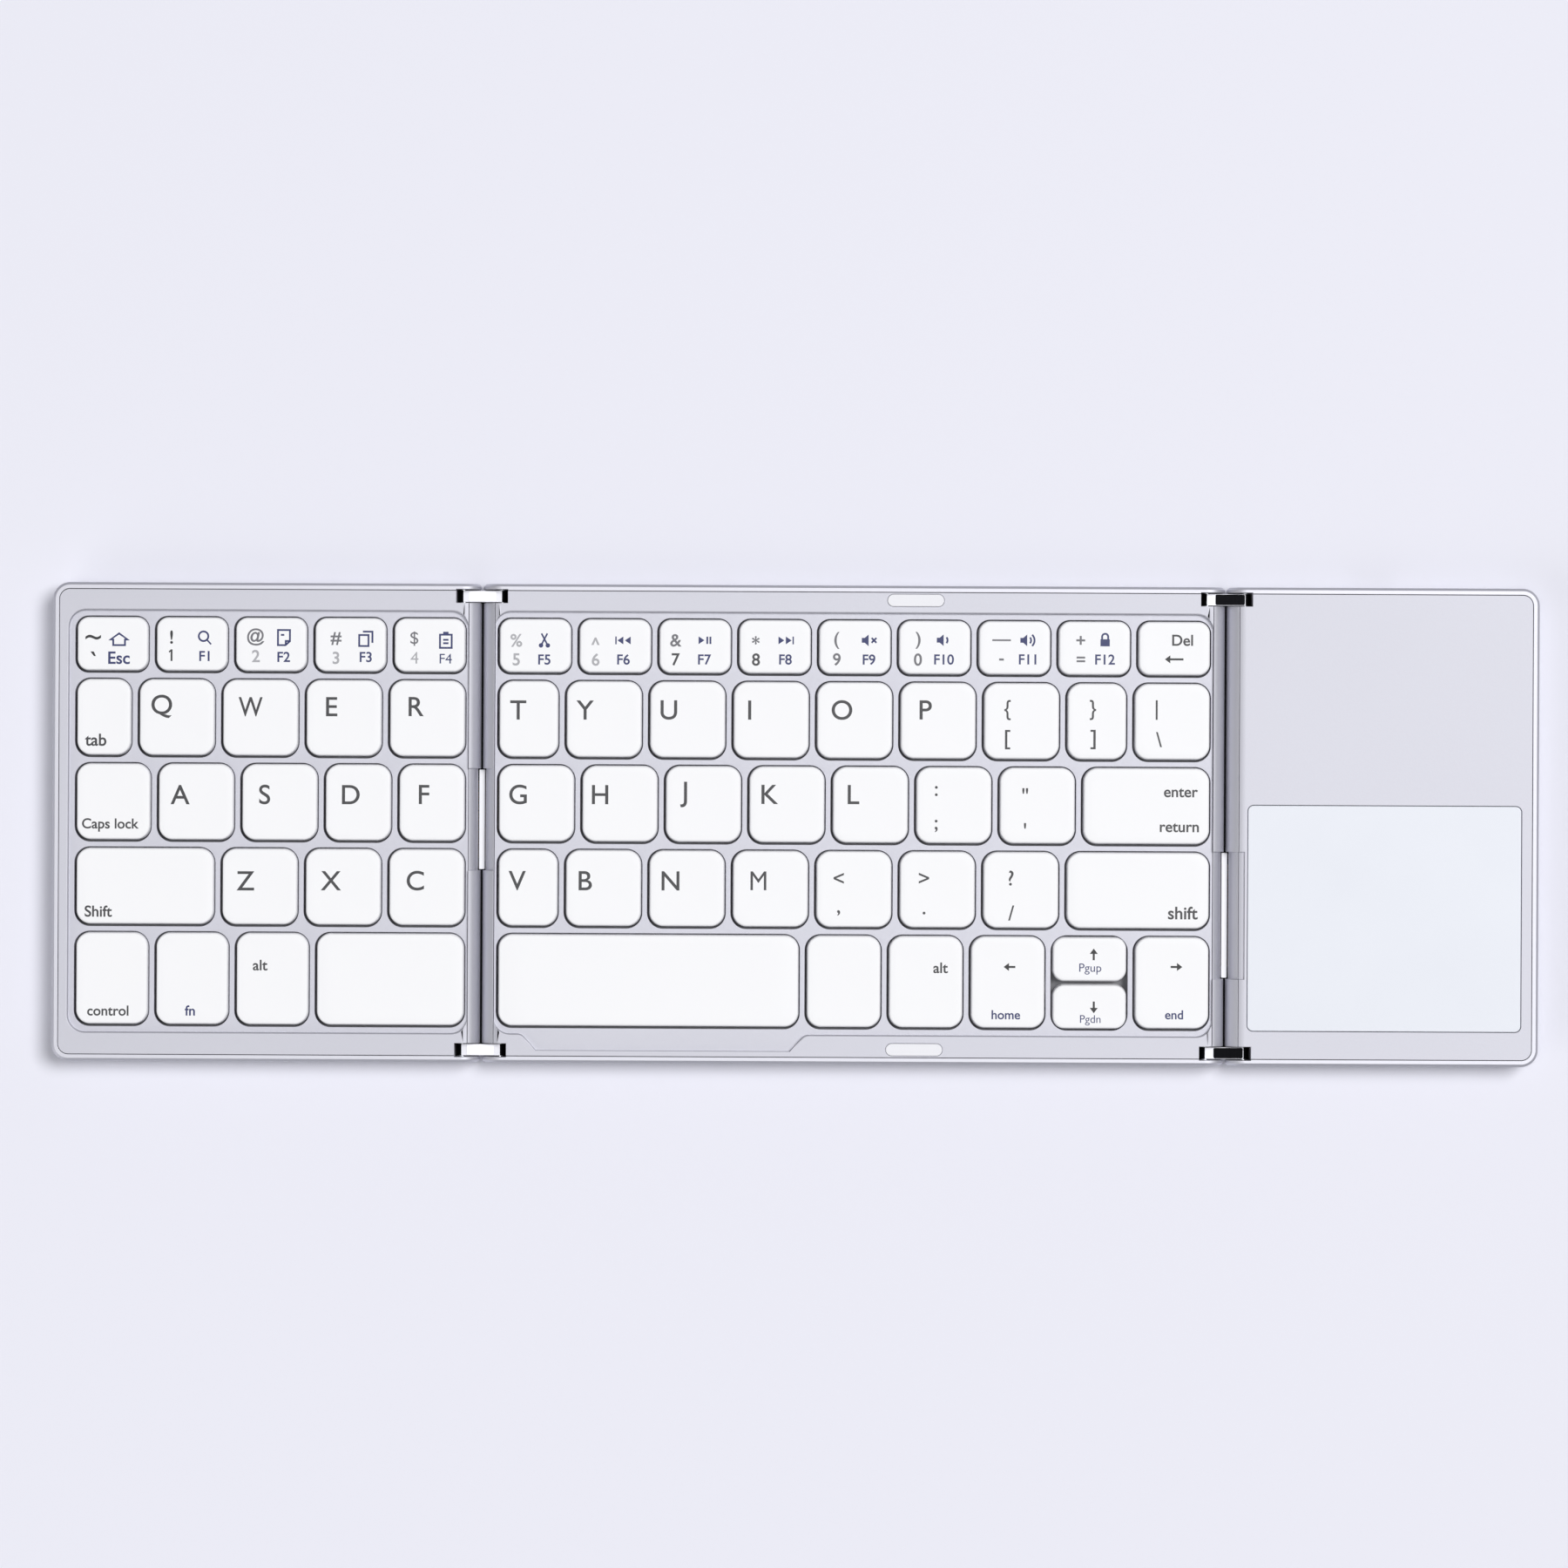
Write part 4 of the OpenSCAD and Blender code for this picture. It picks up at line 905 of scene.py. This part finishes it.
# Ink, height of a capital in mm or DRAWN, CAD node and first key, and then for that key and
# those after it: text or pictogram, and its middle in mm from the cap's left and rear edges
DRAWN = "drawn"        # says that the row is of pictograms
PRINTS = [
    ("black", 4.0, "key_esc", 0, "~ 3.5 4.2"),
    ("black", 4.0, "key_esc", 0, "` 3.5 7.6"),
    ("navy", 2.45, "key_esc", 0, "Esc 8.8 8.4"),
    ("navy", DRAWN, "key_esc", 0, "home 8.8 4.65"),
    ("black", 2.6, "keys_1_to_4", 0, "! 3.3 4.1"),
    ("mid", 2.5, "keys_1_to_4", 1, "@ 4.3 4.0 # 4.5 4.25 $ 4.3 4.2"),
    ("black", DRAWN, "keys_1_to_4", 0, "one 3.3 7.8"),
    ("pale", 2.4, "keys_1_to_4", 1, "2 4.35 7.9 3 4.5 8.2 4 4.35 8.1"),
    ("navy", 2.0, "keys_1_to_4", 0, "F1 10.05 7.95 F2 10.05 8.05 F3 10.6 8.0 F4 10.75 8.25"),
    ("navy", DRAWN, "keys_1_to_4", 0, "search 10.05 4.2 page 10.05 4.1 copy 10.6 4.25 "
                                      "paste 10.75 4.5"),
    ("pale", 2.5, "keys_5_to_8", 0, "% 3.65 4.45 ^ 3.5 4.55"),
    ("mid", 2.5, "keys_5_to_8", 2, "& 3.6 4.3 * 3.6 4.2"),
    ("pale", 2.4, "keys_5_to_8", 0, "5 3.65 8.35 6 3.55 8.3"),
    ("grey", 2.4, "keys_5_to_8", 2, "7 3.6 8.2 8 3.65 8.15"),
    ("navy", 2.0, "keys_5_to_8", 0, "F5 9.4 8.35 F6 9.25 8.25 F7 9.5 8.2 F8 9.7 8.1"),
    ("navy", DRAWN, "keys_5_to_8", 0, "cut 9.4 4.4 back 9.25 4.35 play 9.5 4.25 next 9.7 4.2"),
    ("mid", 2.5, "keys_9_to_equals", 0, "( 3.85 4.15 ) 4.1 4.05 — 4.85 3.95 + 4.7 3.9"),
    ("mid", 2.4, "keys_9_to_equals", 0, "9 3.85 8.05 0 4.1 8.0 - 4.85 7.9 = 4.75 7.8"),
    ("navy", 2.0, "keys_9_to_equals", 0, "F9 10.45 8.05 F10 9.45 7.95 F11 10.2 7.85 "
                                         "F12 9.7 7.8"),
    ("navy", DRAWN, "keys_9_to_equals", 0, "mute 10.45 4.1 quiet 9.45 4.0 loud 10.2 3.95 "
                                           "lock 9.7 3.85"),
    ("grey", 2.2, "key_del", 0, "Del 9.2 3.8"),
    ("black", DRAWN, "key_del", 0, "erase 7.5 7.7"),
    ("grey", 2.4, "key_tab", 0, "tab 4.1 12.5"),
    ("grey", 3.9, "keys_q_to_r", 0, "Q 4.8 5.6 W 5.9 5.6 E 5.4 5.5 R 5.6 5.4"),
    ("grey", 3.9, "keys_t_to_o", 0, "T 4.1 6.0 Y 4.0 5.95 U 4.05 5.85 I 3.5 5.8 O 5.3 5.7"),
    ("grey", 3.9, "keys_p_to_backslash", 0, "P 5.35 5.6"),
    ("grey", 3.0, "keys_p_to_backslash", 1, "{ 5.0 5.55 } 5.4 5.45 | 4.7 5.4"),
    ("grey", 3.0, "keys_p_to_backslash", 1, "[ 5.05 11.6 ] 5.45 11.5 \\ 5.2 11.45"),
    ("grey", 2.0, "key_caps_lock", 0, "Caps_lock 7.2 12.65"),
    ("grey", 3.9, "keys_a_to_f", 0, "A 4.65 6.35 S 4.85 6.25 D 5.4 6.2 F 5.3 6.1"),
    ("grey", 3.9, "keys_g_to_quote", 0, "G 4.15 6.0 H 3.85 5.95 J 3.85 5.85 K 4.4 5.75 "
                                        "L 4.45 5.7"),
    ("grey", 3.0, "keys_g_to_quote", 5, ": 4.3 4.9 \" 5.4 4.8"),
    ("grey", 3.0, "keys_g_to_quote", 5, "; 4.3 12.05 ' 5.4 11.95"),
    ("grey", 2.2, "key_enter", 0, "enter 20.2 5.0"),
    ("grey", 2.2, "key_enter", 0, "return 19.9 12.15"),
    ("grey", 2.2, "key_left_shift", 0, "Shift 4.8 13.0"),
    ("grey", 3.9, "keys_z_to_c", 0, "Z 5.0 6.65 X 5.4 6.55 C 5.6 6.45"),
    ("grey", 3.9, "keys_v_to_slash", 0, "V 4.05 6.35 B 4.2 6.3 N 4.55 6.25 M 5.45 6.15"),
    ("grey", 3.0, "keys_v_to_slash", 4, "< 4.8 5.55 > 5.15 5.45 ? 5.9 5.35"),
    ("grey", 3.0, "keys_v_to_slash", 4, ", 4.8 12.65 . 5.2 12.6 / 5.95 12.5"),
    ("grey", 2.5, "key_right_shift", 0, "shift 24.0 12.35"),
    ("grey", 2.0, "key_control", 0, "control 6.85 16.05"),
    ("navy", 2.0, "key_fn", 0, "fn 7.2 15.95"),
    ("grey", 2.1, "key_left_alt", 0, "alt 5.1 6.6"),
    ("grey", 2.1, "key_right_alt", 0, "alt 10.8 6.5"),
    ("black", DRAWN, "key_left_arrow", 0, "left 8.1 6.25"),
    ("navy", 1.8, "key_left_arrow", 0, "home 7.4 16.05"),
    ("black", DRAWN, "key_up_arrow", 0, "up 8.55 3.6"),
    ("navy", 1.7, "key_up_arrow", 0, "Pgup 7.85 6.6"),
    ("black", DRAWN, "key_down_arrow", 0, "down 8.6 4.7"),
    ("navy", 1.6, "key_down_arrow", 0, "Pgdn 7.9 7.35"),
    ("black", DRAWN, "key_right_arrow", 0, "right 8.7 6.1"),
    ("navy", 1.8, "key_right_arrow", 0, "end 8.25 15.9"),
]
INKS = {"black": linear(12, 12, 18), "grey": linear(46, 46, 50), "mid": linear(98, 98, 104),
        "pale": linear(158, 158, 163), "navy": linear(22, 34, 92)}


def ink(name, tone):
    """Pad-printing ink: slightly glossy, a little uneven."""
    material, wire = blank_material(name)
    cloud = noise(wire, 700.0)
    feed(material, blend_of(cloud, tone, shade(tone, 1.25)), 0.34 + 0.12 * cloud, cloud,
         0.003 * MM)
    return material


letters = add_object("letters", bpy.data.curves.new("letters", "FONT"))
drawing = add_object("drawing", bpy.data.curves.new("drawing", "CURVE"))
drawing.data.dimensions = "2D"
drawing.data.fill_mode = "BOTH"


def flat_mesh(thing, scale, centred):
    """What a flat curve or text makes, as a thin scaled mesh, centred on the origin or not."""
    thing.data.extrude = INK_SLAB / scale
    graph = bpy.context.evaluated_depsgraph_get()
    mesh = bpy.data.meshes.new_from_object(thing.evaluated_get(graph), depsgraph=graph)
    middle = Vector((0, 0, 0))
    if centred:
        xs, ys = ([v.co[k] for v in mesh.vertices] for k in (0, 1))
        middle = Vector(((min(xs) + max(xs)) / 2, (min(ys) + max(ys)) / 2, 0))
    mesh.transform(Matrix.Scale(scale, 4) @ Matrix.Translation(-middle))
    return mesh


def word(text, height):
    """The mesh of a text, whose capitals have a height in mm."""
    letters.data.body = text.replace("_", " ")
    letters.data.offset = LETTER_BOLD if height >= LETTER_HEIGHT else BOLD
    if text in NOT_BOLD:
        letters.data.offset = 0.0
    mesh = flat_mesh(letters, height * MM / CAP_SHARE, True)
    mesh.transform(Matrix.Diagonal((NARROW.get(text, 1.0), 1.0, 1.0, 1.0)))
    return [mesh]


def pictogram(name):
    """A mesh for each shape of a pictogram."""
    meshes = []
    for shape in PICTOGRAMS[name]:
        drawing.data.splines.clear()
        for loop in shape:
            line = drawing.data.splines.new("POLY")
            line.points.add(len(loop) - 1)
            line.use_cyclic_u = True
            for point, (x, y) in zip(line.points, loop):
                point.co = (x, y, 0, 1)
        meshes.append(flat_mesh(drawing, MM, False))
    return meshes


printed = {}
for tone, height, node, first, row in PRINTS:
    row = row.split(" ")
    boxes = key_boxes(node)[first:]
    for (low, high), what, x, y in zip(boxes, row[0::3], row[1::3], row[2::3]):
        place = Matrix.Translation((low.x + float(x) * MM, high.y - float(y) * MM, 0))
        for mesh in pictogram(what) if height == DRAWN else word(what, height):
            mesh.transform(place)
            printed.setdefault(node, []).append((tone, mesh))
for helper in (letters, drawing):
    bpy.data.objects.remove(helper)

inks = {name: ink("ink_" + name, tone) for name, tone in INKS.items()}
for node, prints in printed.items():
    tones = sorted({tone for tone, _ in prints})
    caps = bpy.data.objects[node + "_caps"].data
    tops = BVHTree.FromPolygons([v.co for v in caps.vertices],
                                [p.vertices for p in caps.polygons])
    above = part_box(node)[1][2] + MM
    shape = bmesh.new()
    for tone, mesh in prints:
        known = len(shape.faces)
        shape.from_mesh(mesh)
        shape.faces.ensure_lookup_table()
        for face in shape.faces[known:]:
            face.material_index = tones.index(tone)
    bmesh.ops.remove_doubles(shape, verts=shape.verts, dist=WELD)
    for vert in shape.verts:
        spot = Vector((vert.co.x, vert.co.y, above))
        hit = tops.ray_cast(spot, Vector((0, 0, -1)))[0] or tops.find_nearest(spot)[0]
        vert.co.z = hit.z + (INK_RISE if vert.co.z > 0 else -INK_SINK)
    bmesh.ops.recalc_face_normals(shape, faces=shape.faces)
    legend = object_of(shape, node + "_legends", *(inks[tone] for tone in tones))
    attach(legend, node)
